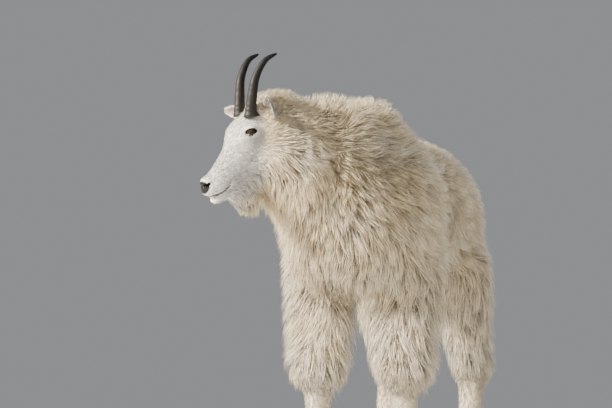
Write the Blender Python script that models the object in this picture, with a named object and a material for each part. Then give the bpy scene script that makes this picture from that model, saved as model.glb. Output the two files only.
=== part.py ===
"""A life-size mountain goat, standing with its head turned to its right.

Metres, +Z up. The goat faces -Y and its left side is at +X. It is drawn about a point on the floor between its
feet, and the last step moves it so that the origin lies on the floor under the middle of its box.
The flesh is one smooth field of ellipsoids and tapered rods. Each node is meshed from that field inside its own
bounds, and the long coat is added as flat, tapered locks that are fused to the node that they grow from.
"""

import itertools
import math

import bmesh
import bpy
import numpy as np
from mathutils import Vector, kdtree

# Driving sizes
HUMP_TOP = 0.908
TRUNK_MIDDLE = 0.70
LEG_SPREAD = 0.106
FRONT_FEET_Y = -0.30
HIND_FEET_Y = 0.225
LEG_CUT_Z = 0.512
COAT_FOOT_Z = 0.35
HEAD_TURN = math.radians(42.0)
HEAD_PITCH = math.radians(44.7)
POLL = np.array((-0.140, -0.553, 0.951))
EYE_RADIUS = 0.0165
EYE_PLACE = np.array((0.1090, 0.0350, 0.0170))
HORN_RADIUS = 0.0195
HORN_TIP = 0.0010
NOSTRIL = ((0.2790, 0.0080, 0.0020), (0.2680, 0.0170, -0.0010), 0.0036, 0.0044)
MOUTH_LINE = (
    (0.2890, 0.0000, -0.0255),
    (0.2790, 0.0140, -0.0315),
    (0.2650, 0.0210, -0.0363),
    (0.2365, 0.0300, -0.0402),
)
MOUTH_RADIUS = 0.0037
PHILTRUM = ((0.2830, 0.0, -0.0080), (0.2895, 0.0, -0.0230))
PHILTRUM_RADIUS = 0.0022
OPENING_RIM = 0.0012
SLIT_OUT = np.array((0.004, 0.0165, 0.004))
SLIT_TILT = math.radians(33.0)
SLIT_SHIFT = 0.0035
SLIT_RADII = (0.0170, 0.0120, 0.0120)
HORN_RINGS = (1.08, 0.045, 60.0)
HORN_LINE = (
    (0.0742, 0.0262, 0.0382),
    (0.0655, 0.0275, 0.0501),
    (0.0383, 0.0310, 0.0744),
    (0.0094, 0.0350, 0.0970),
    (-0.0195, 0.0390, 0.1094),
    (-0.0472, 0.0425, 0.1127),
    (-0.0755, 0.0450, 0.1035),
)
EAR_LENGTH = 0.098
EAR_WIDTH = 0.046
EAR_WALL = 0.0045
EAR_CURL = 1.25
EAR_BASE = np.array((0.043, 0.044, 0.012))
EAR_AIM = {
    "ear_left": (np.array((0.075, 0.050, 0.050)), 1),
    "ear_right": (np.array((0.088, 0.036, 0.012)), -1),
}
HOOF_TOP = 0.036
HOOF_NORMAL = (0.0, 0.22, -1.0)
HOOF_LENGTH = 0.070
HOOF_WIDTH = 0.027
CLEFT = 0.0028
TAIL_ROOT = np.array((0.0, 0.375, 0.745))
TAIL_TIP = np.array((0.0, 0.440, 0.655))
NECK_CUT_POINT = np.array((0.0, -0.395, 0.80))
NECK_CUT_NORMAL = np.array((-0.30, -0.85, 0.44)) / np.linalg.norm((-0.30, -0.85, 0.44))
GAP = 0.0003
CLEARANCE = 0.0005

# How much of the coat's depth is in the core, and the locks that stand for the rest: how deep their roots are
# sunk, how far they may stray off the coat, their spacing and width, and their own taper from root to tip
CORE_SHARE = 0.45
LOCK_SUNK = 0.016
LOCK_STRAY = 1.5
TORSO_LOCKS = (0.103, 0.108)
NECK_LOCKS = (0.085, 0.088)
LEG_LOCKS = (0.072, 0.078)
BEARD_LOCKS = (0.017, 0.021)
BEARD_LENGTH_SHARE = 0.44
LOCK_STEPS = 3
LOCK_WIDTHS = (0.80, 1.0, 0.72)
LOCK_RISES = (1.0, 1.0, 0.70)
LOCK_THICKNESS = 0.002
LOCK_THICKNESS_SHARE = 0.06
CUTTER_GROWTH = {"across": 9.0, "up": 1.6, "along": 60.0}

# How finely each node is sampled and about how many triangles its core keeps
BODY_CELL = 0.016
NECK_CELL = 0.012
LEG_CELL = 0.010
TAIL_CELL = 0.008
HEAD_CELL = 0.0032
TORSO_TRIANGLES = 1000
NECK_TRIANGLES = 560
HEAD_TRIANGLES = 3000
LEG_TRIANGLES = 360
TAIL_TRIANGLES = 160
SLOPE_STEP = 0.002
TOUCHING = 0.000004
PARTED_BY = 0.00003
CUTTER_SIZE = 1.5
TINY = 1e-9

# The triangles that cut a tetrahedron with this many of its corners inside, each as three of its edges
TETRAHEDRON_CUTS = {
    1: (((0, 1), (0, 2), (0, 3)),),
    2: (((0, 2), (0, 3), (1, 3)), ((0, 2), (1, 3), (1, 2))),
    3: (((0, 3), (1, 3), (2, 3)),),
}

# Each leg's side, whether it is a front leg, its foot's place and the seed of its locks
LEGS = {
    "leg_front_left": {"side": 1, "front": True, "foot_y": FRONT_FEET_Y + 0.015, "seed": 20},
    "leg_front_right": {"side": -1, "front": True, "foot_y": FRONT_FEET_Y - 0.015, "seed": 21},
    "leg_hind_left": {"side": 1, "front": False, "foot_y": HIND_FEET_Y + 0.02, "seed": 32},
    "leg_hind_right": {"side": -1, "front": False, "foot_y": HIND_FEET_Y - 0.02, "seed": 23},
}

# The coat's places on the body: place, reach, depth off the flesh, lock length and lie.
# A place off the middle plane stands for both sides.
COAT = {
    "hump": ((0.0, -0.24, 0.93), 0.10, 0.055, 0.170, (0.0, 0.9, 0.0)),
    "back": ((0.0, 0.05, 0.88), 0.13, 0.037, 0.180, (0.0, 0.9, -0.2)),
    "croup": ((0.0, 0.28, 0.84), 0.11, 0.036, 0.165, (0.0, 0.7, -0.6)),
    "rump": ((0.0, 0.41, 0.68), 0.10, 0.042, 0.165, (0.0, 0.25, -0.95)),
    "shoulder": ((0.16, -0.25, 0.72), 0.11, 0.052, 0.185, (0.0, 0.35, -0.9)),
    "ribs": ((0.16, 0.0, 0.72), 0.13, 0.042, 0.185, (0.0, 0.5, -0.8)),
    "hip": ((0.12, 0.24, 0.70), 0.11, 0.038, 0.175, (0.0, 0.35, -0.9)),
    "belly": ((0.0, 0.05, 0.56), 0.12, 0.045, 0.140, (0.0, 0.15, -1.0)),
    "chest": ((0.0, -0.46, 0.66), 0.10, 0.086, 0.185, (0.0, 0.05, -1.0)),
    "brisket": ((0.0, -0.36, 0.56), 0.08, 0.060, 0.165, (0.0, 0.0, -1.0)),
    "breast": ((0.14, -0.40, 0.59), 0.060, 0.082, 0.165, (0.05, 0.05, -1.0)),
    "forearm": ((0.12, -0.27, 0.47), 0.07, 0.064, 0.140, (0.08, 0.2, -1.0)),
    "knee": ((0.11, -0.29, 0.375), 0.05, 0.062, 0.110, (0.05, 0.1, -1.0)),
    "front_cannon": ((0.11, -0.30, 0.20), 0.065, 0.005, 0.020, (0.0, 0.1, -1.0)),
    "front_foot": ((0.11, -0.31, 0.05), 0.05, 0.003, 0.010, (0.0, 0.1, -1.0)),
    "thigh": ((0.12, 0.24, 0.53), 0.09, 0.038, 0.150, (0.05, 0.3, -1.0)),
    "hock": ((0.105, 0.31, 0.385), 0.05, 0.034, 0.100, (0.0, 0.3, -1.0)),
    "hind_cannon": ((0.105, 0.27, 0.20), 0.065, 0.005, 0.020, (0.0, 0.1, -1.0)),
    "hind_foot": ((0.105, 0.23, 0.05), 0.05, 0.003, 0.010, (0.0, 0.1, -1.0)),
    "crest": ((0.0, -0.40, 0.90), 0.07, 0.056, 0.120, (0.2, 0.8, -0.1)),
}

# The same for the turned neck, whose two sides differ
NECK_COAT = {
    "neck_left": ((0.06, -0.50, 0.80), 0.08, 0.058, 0.160, (0.25, 0.25, -1.0)),
    "neck_right": ((-0.17, -0.42, 0.80), 0.08, 0.052, 0.150, (0.0, 0.35, -1.0)),
    "nape": ((-0.10, -0.47, 0.91), 0.045, 0.076, 0.110, (0.1, 0.8, -0.1)),
    "throat": ((-0.08, -0.56, 0.74), 0.07, 0.066, 0.180, (0.05, 0.1, -1.0)),
}

# The same for the head, in the head's own forward, left and up
HEAD_COAT = {
    "face": ((0.19, 0.0, -0.01), 0.055, 0.0035, 0.012, (-1.0, 0.0, 0.1)),
    "forehead": ((0.11, 0.0, 0.035), 0.040, 0.006, 0.018, (-1.0, 0.0, 0.1)),
    "muzzle": ((0.265, 0.0, -0.02), 0.035, 0.002, 0.008, (-1.0, 0.0, 0.0)),
    "eye_side": ((0.115, 0.05, 0.010), 0.030, 0.004, 0.012, (-1.0, 0.1, -0.1)),
    "poll": ((-0.01, 0.0, 0.040), 0.030, 0.020, 0.050, (-0.9, 0.0, 0.3)),
    "ear_back": ((0.020, 0.056, 0.002), 0.016, 0.004, 0.012, (-0.9, 0.1, -0.3)),
    "cheek": ((0.035, 0.055, -0.045), 0.035, 0.020, 0.060, (-0.5, 0.1, -0.6)),
    "jaw": ((0.20, 0.0, -0.095), 0.045, 0.014, 0.100, (0.5, 0.0, -0.6)),
    "gullet": ((0.01, 0.0, -0.12), 0.040, 0.042, 0.110, (0.3, 0.0, -0.7)),
}


def head_axes():
    """The head's forward, left and up directions in the goat's frame, as the rows of a matrix."""
    level = np.array((-math.sin(HEAD_TURN), -math.cos(HEAD_TURN), 0.0))
    upright = np.array((0.0, 0.0, 1.0))
    forward = level * math.cos(HEAD_PITCH) - upright * math.sin(HEAD_PITCH)
    up = level * math.sin(HEAD_PITCH) + upright * math.cos(HEAD_PITCH)
    return np.array((forward, np.cross(up, forward), up))


HEAD_AXES = head_axes()
LEVEL_AHEAD = np.array((-math.sin(HEAD_TURN), -math.cos(HEAD_TURN), 0.0))


def to_head(points):
    """Points of the goat's frame in the head's own forward, left and up."""
    return (points - POLL) @ HEAD_AXES.T


def from_head(points):
    """Points of the head's own frame in the goat's frame."""
    return np.asarray(points) @ HEAD_AXES + POLL


BEARD_PLACE = from_head((0.216, 0.0, -0.090))
BEARD_SIZE = (0.032, 0.011, 0.023)

# The head ends at a cut behind the poll and at an upright cut behind the jaw
HEAD_CUTS = (
    (from_head((-0.012, 0.0, 0.0)), np.array((1.0, 0.0, 0.22)) @ HEAD_AXES),
    (from_head((0.044, 0.0, -0.092)), LEVEL_AHEAD),
)


def both_sides(points):
    """The points moved to the left side of their middle plane."""
    return points * np.array((0.0, 1.0, 1.0)) + np.abs(points) * np.array((1.0, 0.0, 0.0))


def head_both_sides(points):
    """The head's own points moved to its left side."""
    return points * np.array((1.0, 0.0, 1.0)) + np.abs(points) * np.array((0.0, 1.0, 0.0))


def ellipsoid(points, centre, radii):
    """Distance to an ellipsoid, nearly true close to its surface."""
    offset = points - np.array(centre)
    radii = np.array(radii)
    near = np.linalg.norm(offset / radii, axis=1)
    slope = np.linalg.norm(offset / radii**2, axis=1)
    return near * (near - 1.0) / np.maximum(slope, TINY)


def rod(points, start, end, start_radius, end_radius):
    """Distance to a round rod whose radius changes evenly from start to end."""
    start, end = np.array(start), np.array(end)
    along = end - start
    share = np.clip((points - start) @ along / (along @ along), 0.0, 1.0)
    offset = points - start - share[:, None] * along
    return np.linalg.norm(offset, axis=1) - start_radius - (end_radius - start_radius) * share


def blend(first, second, width):
    """The union of two fields, filleted over about this width."""
    share = np.clip(0.5 + 0.5 * (second - first) / width, 0.0, 1.0)
    return second + (first - second) * share - width * share * (1.0 - share)


def carve(field, cutter, width):
    """The field with the cutter taken out, its rim rounded over about this width."""
    return -blend(-field, cutter, width)


def leg_joints(leg):
    """A leg's joints from the top down as centre and radius pairs."""
    x = leg["side"] * LEG_SPREAD
    y = leg["foot_y"]
    if leg["front"]:
        elbow = ((x * 1.04, FRONT_FEET_Y + 0.050, 0.565), 0.052)
        knee = ((x * 1.03, 0.5 * (y + FRONT_FEET_Y) + 0.005, 0.300), 0.030)
        fetlock = ((x, y, 0.088), 0.0235)
        return (elbow, knee, fetlock, ((x, y - 0.026, 0.044), 0.0245))
    stifle = ((x * 0.94, HIND_FEET_Y - 0.020, 0.545), 0.055)
    hock = ((x * 0.97, 0.5 * (y + HIND_FEET_Y) + 0.075, 0.300), 0.029)
    fetlock = ((x, y + 0.028, 0.088), 0.0235)
    return (stifle, hock, fetlock, ((x, y, 0.044), 0.0245))


def legs_field(points):
    """The flesh of the legs below the trunk."""
    field = np.full(len(points), 1.0)
    for leg in LEGS.values():
        joints = leg_joints(leg)
        for (upper, upper_radius), (lower, lower_radius) in zip(joints, joints[1:]):
            field = blend(field, rod(points, upper, lower, upper_radius, lower_radius), 0.022)
        middle, _ = joints[1]
        if leg["front"]:
            joint_bump = ellipsoid(points, np.array(middle) + (0, -0.006, 0), (0.031, 0.032, 0.045))
        else:
            joint_bump = ellipsoid(points, np.array(middle) + (0, 0.020, 0.020), (0.019, 0.022, 0.040))
        field = blend(field, joint_bump, 0.015)
        ankle, _ = joints[2]
        field = blend(field, ellipsoid(points, ankle, (0.027, 0.028, 0.030)), 0.012)
    return field


def trunk_field(points):
    """The flesh of the trunk, with the shoulders and haunches."""
    side = both_sides(points)
    field = ellipsoid(points, (0.0, -0.09, TRUNK_MIDDLE), (0.134, 0.31, 0.145))
    forms = (
        ((0.0, -0.32, TRUNK_MIDDLE - 0.01), (0.134, 0.148, 0.135), 0.06),
        ((0.0, -0.25, HUMP_TOP - 0.11), (0.034, 0.165, 0.110), 0.06),
        ((0.0, 0.08, TRUNK_MIDDLE), (0.122, 0.220, 0.120), 0.06),
        ((0.0, 0.12, TRUNK_MIDDLE + 0.048), (0.052, 0.240, 0.078), 0.05),
        ((0.0, 0.24, TRUNK_MIDDLE - 0.005), (0.076, 0.135, 0.122), 0.05),
    )
    for centre, radii, fillet in forms:
        field = blend(field, ellipsoid(points, centre, radii), fillet)
    shoulder = ellipsoid(side, (0.095, -0.265, 0.665), (0.048, 0.090, 0.150))
    haunch = ellipsoid(side, (0.066, 0.235, 0.600), (0.050, 0.105, 0.145))
    return blend(blend(field, shoulder, 0.05), haunch, 0.05)


def neck_field(points):
    """The flesh of the neck, from the withers to the turned head."""
    crest = rod(points, (0.0, -0.27, 0.845), (-0.050, -0.41, 0.866), 0.056, 0.050)
    crest = blend(crest, rod(points, (-0.050, -0.41, 0.866), (-0.115, -0.530, 0.862), 0.050, 0.034), 0.02)
    middle = rod(points, (0.0, -0.32, 0.765), (-0.125, -0.545, 0.855), 0.095, 0.052)
    throat = rod(points, (0.0, -0.37, 0.700), (-0.140, -0.565, 0.825), 0.095, 0.048)
    return blend(blend(crest, middle, 0.05), throat, 0.05)


def skull_field(local):
    """The flesh of the head before its openings are cut, in the head's own frame."""
    side = head_both_sides(local)
    field = ellipsoid(local, (0.046, 0.0, -0.008), (0.068, 0.045, 0.050))
    forms = (
        ("ellipsoid", (0.100, 0.0, -0.001), (0.060, 0.040, 0.045), 0.020),
        ("ellipsoid", (0.106, 0.027, 0.015), (0.031, 0.018, 0.021), 0.016),
        ("rod", (0.130, 0.0, -0.013), (0.254, 0.0, -0.017), 0.038, 0.023, 0.026),
        ("rod", (0.050, 0.0, -0.060), (0.244, 0.0, -0.048), 0.036, 0.016, 0.030),
        ("ellipsoid", (0.066, 0.030, -0.044), (0.050, 0.024, 0.046), 0.020),
        ("ellipsoid", (0.247, 0.0, -0.021), (0.035, 0.0285, 0.025), 0.012),
        ("ellipsoid", (0.267, 0.0, -0.001), (0.0135, 0.0190, 0.0145), 0.008),
        ("ellipsoid", (0.272, 0.0, -0.015), (0.0170, 0.0200, 0.0150), 0.008),
        ("ellipsoid", (0.261, 0.0, -0.045), (0.0260, 0.0185, 0.0125), 0.007),
        ("ellipsoid", tuple(EYE_PLACE), (0.0205, 0.0185, 0.0175), 0.006),
    )
    for kind, first, second, *rest in forms:
        if kind == "rod":
            form = rod(side, first, second, rest[0], rest[1])
        else:
            form = ellipsoid(side, first, second)
        field = blend(field, form, rest[-1])
    return field


def nostril_field(side):
    """The hollow of a nostril."""
    return rod(side, *NOSTRIL)


def mouth_field(side, radius):
    """A round groove of this radius along the line of the mouth."""
    return np.minimum.reduce([rod(side, *ends, radius, radius) for ends in zip(MOUTH_LINE, MOUTH_LINE[1:])])


def slit_field(side):
    """The almond between the lids, as the overlap of two ellipsoids, with its front corner lower."""
    offset = side - EYE_PLACE - SLIT_OUT
    along = np.array((math.cos(SLIT_TILT), 0.0, math.sin(SLIT_TILT)))
    turned = np.stack((offset @ along, offset[:, 1], offset @ np.cross(along, (0.0, 1.0, 0.0))), 1)
    upper = ellipsoid(turned, (0.0, 0.0, SLIT_SHIFT), SLIT_RADII)
    lower = ellipsoid(turned, (0.0, 0.0, -SLIT_SHIFT), SLIT_RADII)
    return np.maximum(upper, lower)


def head_openings(local, field):
    """The head's field with the nostrils, the line of the mouth and the slits between the lids cut in."""
    side = head_both_sides(local)
    field = carve(field, nostril_field(side), OPENING_RIM)
    field = carve(field, mouth_field(side, MOUTH_RADIUS), OPENING_RIM)
    field = carve(field, rod(side, *PHILTRUM, PHILTRUM_RADIUS, PHILTRUM_RADIUS), OPENING_RIM)
    return carve(field, slit_field(side), OPENING_RIM)


def coat_at(points):
    """Depth off the flesh, lock length and lie of the coat at these points."""
    local = to_head(points)
    weight_sum = np.full(len(points), TINY)
    depth = np.zeros(len(points))
    length = np.zeros(len(points))
    lie = np.zeros((len(points), 3))
    for table, own, folded in (
        (COAT, points, True),
        (NECK_COAT, points, False),
        (HEAD_COAT, local, True),
    ):
        for place, reach, place_depth, place_length, place_lie in table.values():
            in_head = table is HEAD_COAT
            across = 1 if in_head else 0
            near = own.copy()
            if folded:
                near[:, across] = np.abs(near[:, across])
            weight = np.exp(-(np.sum((near - np.array(place)) ** 2, axis=1)) / (2.0 * reach**2))
            direction = np.tile(np.array(place_lie) / np.linalg.norm(place_lie), (len(points), 1))
            if folded:
                direction[:, across] *= np.sign(own[:, across])
            if in_head:
                direction = direction @ HEAD_AXES
            weight_sum += weight
            depth += weight * place_depth
            length += weight * place_length
            lie += weight[:, None] * direction
    lie /= np.maximum(np.linalg.norm(lie, axis=1), TINY)[:, None]
    return depth / weight_sum, length / weight_sum, lie


def beard_field(points):
    """The thick of the beard, which hangs under the jaw."""
    hanging = np.array((LEVEL_AHEAD, HEAD_AXES[1], (0.0, 0.0, 1.0)))
    return ellipsoid((points - BEARD_PLACE) @ hanging.T, (0.0, 0.0, 0.0), BEARD_SIZE)


def flesh(points):
    """The whole goat's flesh without its coat."""
    body = blend(trunk_field(points), legs_field(points), 0.030)
    body = blend(body, neck_field(points), 0.070)
    local = to_head(points)
    return blend(blend(body, skull_field(local), 0.030), beard_field(points), 0.018)


def core(points):
    """The flesh with the inner part of the coat, which the locks grow from."""
    depth, _, _ = coat_at(points)
    return head_openings(to_head(points), flesh(points) - CORE_SHARE * depth)


def slope(field, points):
    """Outward unit normals of a field."""
    corners = np.array(((1, -1, -1), (-1, -1, 1), (-1, 1, -1), (1, 1, 1)), float)
    rise = sum(corner * field(points + corner * SLOPE_STEP)[:, None] for corner in corners)
    return rise / np.maximum(np.linalg.norm(rise, axis=1), TINY)[:, None]


def marching_tetrahedra(field, low, high, cell):
    """Vertices and triangles of the closed surface where a field is zero, with nothing beyond the bounds."""
    axes = [np.arange(a, b + cell, cell) for a, b in zip(low, high)]
    grid = np.stack(np.meshgrid(*axes, indexing="ij"), -1)
    shape = grid.shape[:3]
    points = grid.reshape(-1, 3)
    value = field(points).reshape(shape)
    walled = np.full(shape, cell)
    walled[1:-1, 1:-1, 1:-1] = value[1:-1, 1:-1, 1:-1]
    value = walled.reshape(-1)
    value = np.where(np.abs(value) < 1e-6, 1e-6, value)
    number = np.arange(len(points)).reshape(shape)
    cube = number[:-1, :-1, :-1].reshape(-1)
    steps = np.array((number[1, 0, 0], number[0, 1, 0], number[0, 0, 1]))
    offsets = [0, steps[0], steps[1], steps[0] + steps[1]]
    offsets += [offset + steps[2] for offset in offsets]
    inside = value < 0.0
    filled = sum(inside[cube + offset].astype(int) for offset in offsets)
    cube = cube[(filled > 0) & (filled < 8)]
    edges = []
    for first, second, third in itertools.permutations(steps):
        corners = np.stack((cube, cube + first, cube + first + second, cube + first + second + third), 1)
        deep = inside[corners]
        order = np.argsort(~deep, axis=1, kind="stable")
        corners = np.take_along_axis(corners, order, 1)
        count = deep.sum(1)
        for number_inside, triangles in TETRAHEDRON_CUTS.items():
            chosen = corners[count == number_inside]
            for triangle in triangles:
                edges.append(np.stack([chosen[:, list(edge)] for edge in triangle], 1))
    edges = np.sort(np.concatenate(edges), axis=2)
    unique, corner = np.unique(edges.reshape(-1, 2), axis=0, return_inverse=True)
    near, far = value[unique[:, 0]], value[unique[:, 1]]
    share = np.clip(near / (near - far), 0.02, 0.98)[:, None]
    vertices = points[unique[:, 0]] * (1.0 - share) + points[unique[:, 1]] * share
    return vertices, corner.reshape(-1, 3)


def material(name, colour, roughness):
    """A plain material of this base colour and roughness."""
    made = bpy.data.materials.new(name)
    made.use_nodes = True
    shader = made.node_tree.nodes["Principled BSDF"]
    shader.inputs["Base Color"].default_value = (*colour, 1.0)
    shader.inputs["Roughness"].default_value = roughness
    return made


def face_outward(mesh):
    """Turns every face of a closed mesh outwards."""
    shape = bmesh.new()
    shape.from_mesh(mesh)
    bmesh.ops.recalc_face_normals(shape, faces=shape.faces[:])
    shape.to_mesh(mesh)
    shape.free()


def mesh_object(name, vertices, faces, finish=None):
    """A new smooth-shaded mesh object in the scene."""
    mesh = bpy.data.meshes.new(name)
    mesh.from_pydata(np.asarray(vertices).tolist(), [], [tuple(int(i) for i in face) for face in faces])
    mesh.update()
    face_outward(mesh)
    obj = bpy.data.objects.new(name, mesh)
    bpy.context.scene.collection.objects.link(obj)
    if finish is not None:
        mesh.materials.append(finish)
    mesh.shade_smooth()
    return obj


def apply_modifiers(obj):
    """Replaces the object's mesh by what its modifiers make of it."""
    bpy.context.view_layer.update()
    graph = bpy.context.evaluated_depsgraph_get()
    mesh = bpy.data.meshes.new_from_object(obj.evaluated_get(graph))
    obj.modifiers.clear()
    obj.data = mesh


def decimate(obj, triangles):
    """Thins the mesh to about this many triangles."""
    obj.data.calc_loop_triangles()
    modifier = obj.modifiers.new("thin", "DECIMATE")
    modifier.ratio = min(1.0, triangles / len(obj.data.loop_triangles))
    apply_modifiers(obj)


def signed_volume(faces):
    """Six times the volume that these bmesh faces close."""
    return sum(
        face.verts[0].co.dot(face.verts[i].co.cross(face.verts[i + 1].co))
        for face in faces
        for i in range(1, len(face.verts) - 1)
    )


def keep_largest(obj):
    """Keeps only the largest closed surface, which fills sealed hollows and drops loose scraps."""
    shape = bmesh.new()
    shape.from_mesh(obj.data)
    shape.faces.ensure_lookup_table()
    unseen = set(shape.faces)
    islands = []
    while unseen:
        start = unseen.pop()
        island, edge = [start], [start]
        while edge:
            face = edge.pop()
            for side in face.edges:
                for other in side.link_faces:
                    if other in unseen:
                        unseen.remove(other)
                        island.append(other)
                        edge.append(other)
        islands.append(island)
    islands.sort(key=signed_volume)
    for island in islands[:-1]:
        bmesh.ops.delete(shape, geom=island, context="FACES")
    shape.to_mesh(obj.data)
    shape.free()


def half_space(point, normal, offset=0.0):
    """A large block on the side of a plane that the normal points to, its face set back by the offset."""
    normal = np.array(normal, float) / np.linalg.norm(normal)
    across = np.cross(normal, (0.3, 0.5, 0.8))
    across /= np.linalg.norm(across)
    other = np.cross(normal, across)
    place = np.array(point, float) - normal * offset
    around = ((-1, -1), (1, -1), (1, 1), (-1, 1))
    corners = [place + (across * a + other * b) * CUTTER_SIZE for a, b in around]
    corners += [corner + normal * CUTTER_SIZE for corner in corners]
    faces = ((0, 1, 2, 3), (4, 5, 6, 7), (0, 1, 5, 4), (1, 2, 6, 5), (2, 3, 7, 6), (3, 0, 4, 7))
    return mesh_object("cutter", corners, faces)


def keep_side(obj, point, normal, offset=GAP / 2):
    """Cuts the object flat and keeps the side that the normal points away from."""
    cutter = half_space(point, normal, offset)
    boolean(obj, "DIFFERENCE", other=cutter)
    bpy.data.objects.remove(cutter)


def boolean(obj, operation, other=None, collection=None):
    """Applies one Boolean. The meshes are closed and many pieces cross, where EXACT is slow."""
    modifier = obj.modifiers.new(operation.lower(), "BOOLEAN")
    modifier.operation = operation
    modifier.solver = "MANIFOLD"
    if collection is not None:
        modifier.operand_type = "COLLECTION"
        modifier.collection = collection
    else:
        modifier.object = other
    apply_modifiers(obj)


def part_touching(obj):
    """Removes slivers, then moves vertices that share a place a hair apart, towards their own neighbours."""
    shape = bmesh.new()
    shape.from_mesh(obj.data)
    bmesh.ops.dissolve_degenerate(shape, dist=TOUCHING, edges=shape.edges[:])
    bmesh.ops.triangulate(shape, faces=shape.faces[:])
    if not all(edge.is_manifold for edge in shape.edges):
        shape.clear()
        shape.from_mesh(obj.data)
    tree = kdtree.KDTree(len(shape.verts))
    for i, vertex in enumerate(shape.verts):
        tree.insert(vertex.co, i)
    tree.balance()
    crowded = {vertex for vertex in shape.verts if len(tree.find_range(vertex.co, TOUCHING)) > 1}
    moves = []
    for vertex in crowded:
        others = [edge.other_vert(vertex) for edge in vertex.link_edges]
        free = [other.co for other in others if other not in crowded]
        if free:
            step = sum(free, Vector()) / len(free) - vertex.co
            moves.append((vertex, step * min(0.3, PARTED_BY / max(step.length, TOUCHING))))
    for vertex, move in moves:
        vertex.co += move
    shape.to_mesh(obj.data)
    shape.free()


def swollen(obj):
    """A hidden copy of a smooth object, grown by the clearance, which neighbours are cut by."""
    fat = obj.copy()
    fat.data = obj.data.copy()
    fat.hide_render = True
    fat.display_type = "WIRE"
    bpy.context.scene.collection.objects.link(fat)
    modifier = fat.modifiers.new("swell", "DISPLACE")
    modifier.strength = CLEARANCE
    modifier.mid_level = 0.0
    apply_modifiers(fat)
    return fat


def clear_of(obj, cutters):
    """Cuts the object clear of its neighbours' swollen copies and keeps its largest body."""
    for cutter in cutters:
        boolean(obj, "DIFFERENCE", other=cutter)
    keep_largest(obj)


def surface_points(obj, count, seed):
    """Random points spread evenly over the object's triangles."""
    obj.data.calc_loop_triangles()
    vertices = np.array([v.co for v in obj.data.vertices])
    triangles = np.array([t.vertices for t in obj.data.loop_triangles])
    corner = vertices[triangles]
    area = np.linalg.norm(np.cross(corner[:, 1] - corner[:, 0], corner[:, 2] - corner[:, 0]), axis=1)
    random = np.random.default_rng(seed)
    chosen = random.choice(len(area), count, p=area / area.sum())
    share = np.sort(random.random((count, 2)), axis=1)
    weights = np.stack((share[:, 0], share[:, 1] - share[:, 0], 1.0 - share[:, 1]), -1)
    return np.einsum("nk,nkd->nd", weights, corner[chosen])


def thin_out(points, spacing):
    """Numbers of the points kept, none nearer to an earlier one than its own spacing."""
    kept = []
    for i, point in enumerate(points):
        if not kept or np.min(np.linalg.norm(points[kept] - point, axis=1)) > spacing[i]:
            kept.append(i)
    return np.array(kept, int)


def lock_paths(roots, lengths, lies):
    """Rows of points that run from inside the core out over it along the coat's lie, and hang free at its hems."""
    place = roots - slope(core, roots) * LOCK_SUNK
    rows = [place]
    outward = [slope(core, place)]
    for i in range(LOCK_STEPS):
        share = (i + 1) / LOCK_STEPS
        normals = slope(core, place)
        into = np.minimum(np.sum(lies * normals, axis=1), 0.0)
        along = lies - into[:, None] * normals
        along /= np.maximum(np.linalg.norm(along, axis=1), TINY)[:, None]
        place = place + along * (lengths / LOCK_STEPS)[:, None]
        depth, _, _ = coat_at(place)
        height = (1.0 - CORE_SHARE) * depth * share**0.7
        off = core(place)
        shift = np.maximum(height - off, 0.0) - np.maximum(off - LOCK_STRAY * height - 0.01, 0.0)
        normals = slope(core, place)
        place = place + normals * shift[:, None]
        rows.append(place)
        outward.append(normals)
    return np.stack(rows, 1), np.stack(outward, 1)


def lock_object(number, path, outward, width, thickness, grown=0.0):
    """A flat, tapered lock along a path: three-sided rings that end in a tip, grown where it is to be a cutter."""
    vertices, faces = [], []
    last = len(path) - 1
    path = path.copy()
    path[last] += (path[last] - path[last - 1]) * grown * CUTTER_GROWTH["along"]
    for i in range(last):
        along = path[i + 1] - path[max(i - 1, 0)]
        along = along / np.linalg.norm(along)
        across = np.cross(along, outward[i])
        across = across / max(np.linalg.norm(across), TINY)
        up = np.cross(across, along)
        half = across * (0.5 * width * LOCK_WIDTHS[i] + CUTTER_GROWTH["across"] * grown)
        rise = up * (thickness * LOCK_RISES[i] + CUTTER_GROWTH["up"] * grown)
        vertices += [path[i] - half - rise, path[i] + rise, path[i] + half - rise]
    vertices.append(path[last])
    for i in range(last - 1):
        for k in range(3):
            a, b = 3 * i + k, 3 * i + (k + 1) % 3
            faces += [(a, b, b + 3), (a, b + 3, a + 3)]
    base, tip = 3 * (last - 1), 3 * last
    faces += [(base + k, base + (k + 1) % 3, tip) for k in range(3)]
    faces.append((2, 1, 0))
    return mesh_object(f"lock_{number}", vertices, faces)


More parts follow.
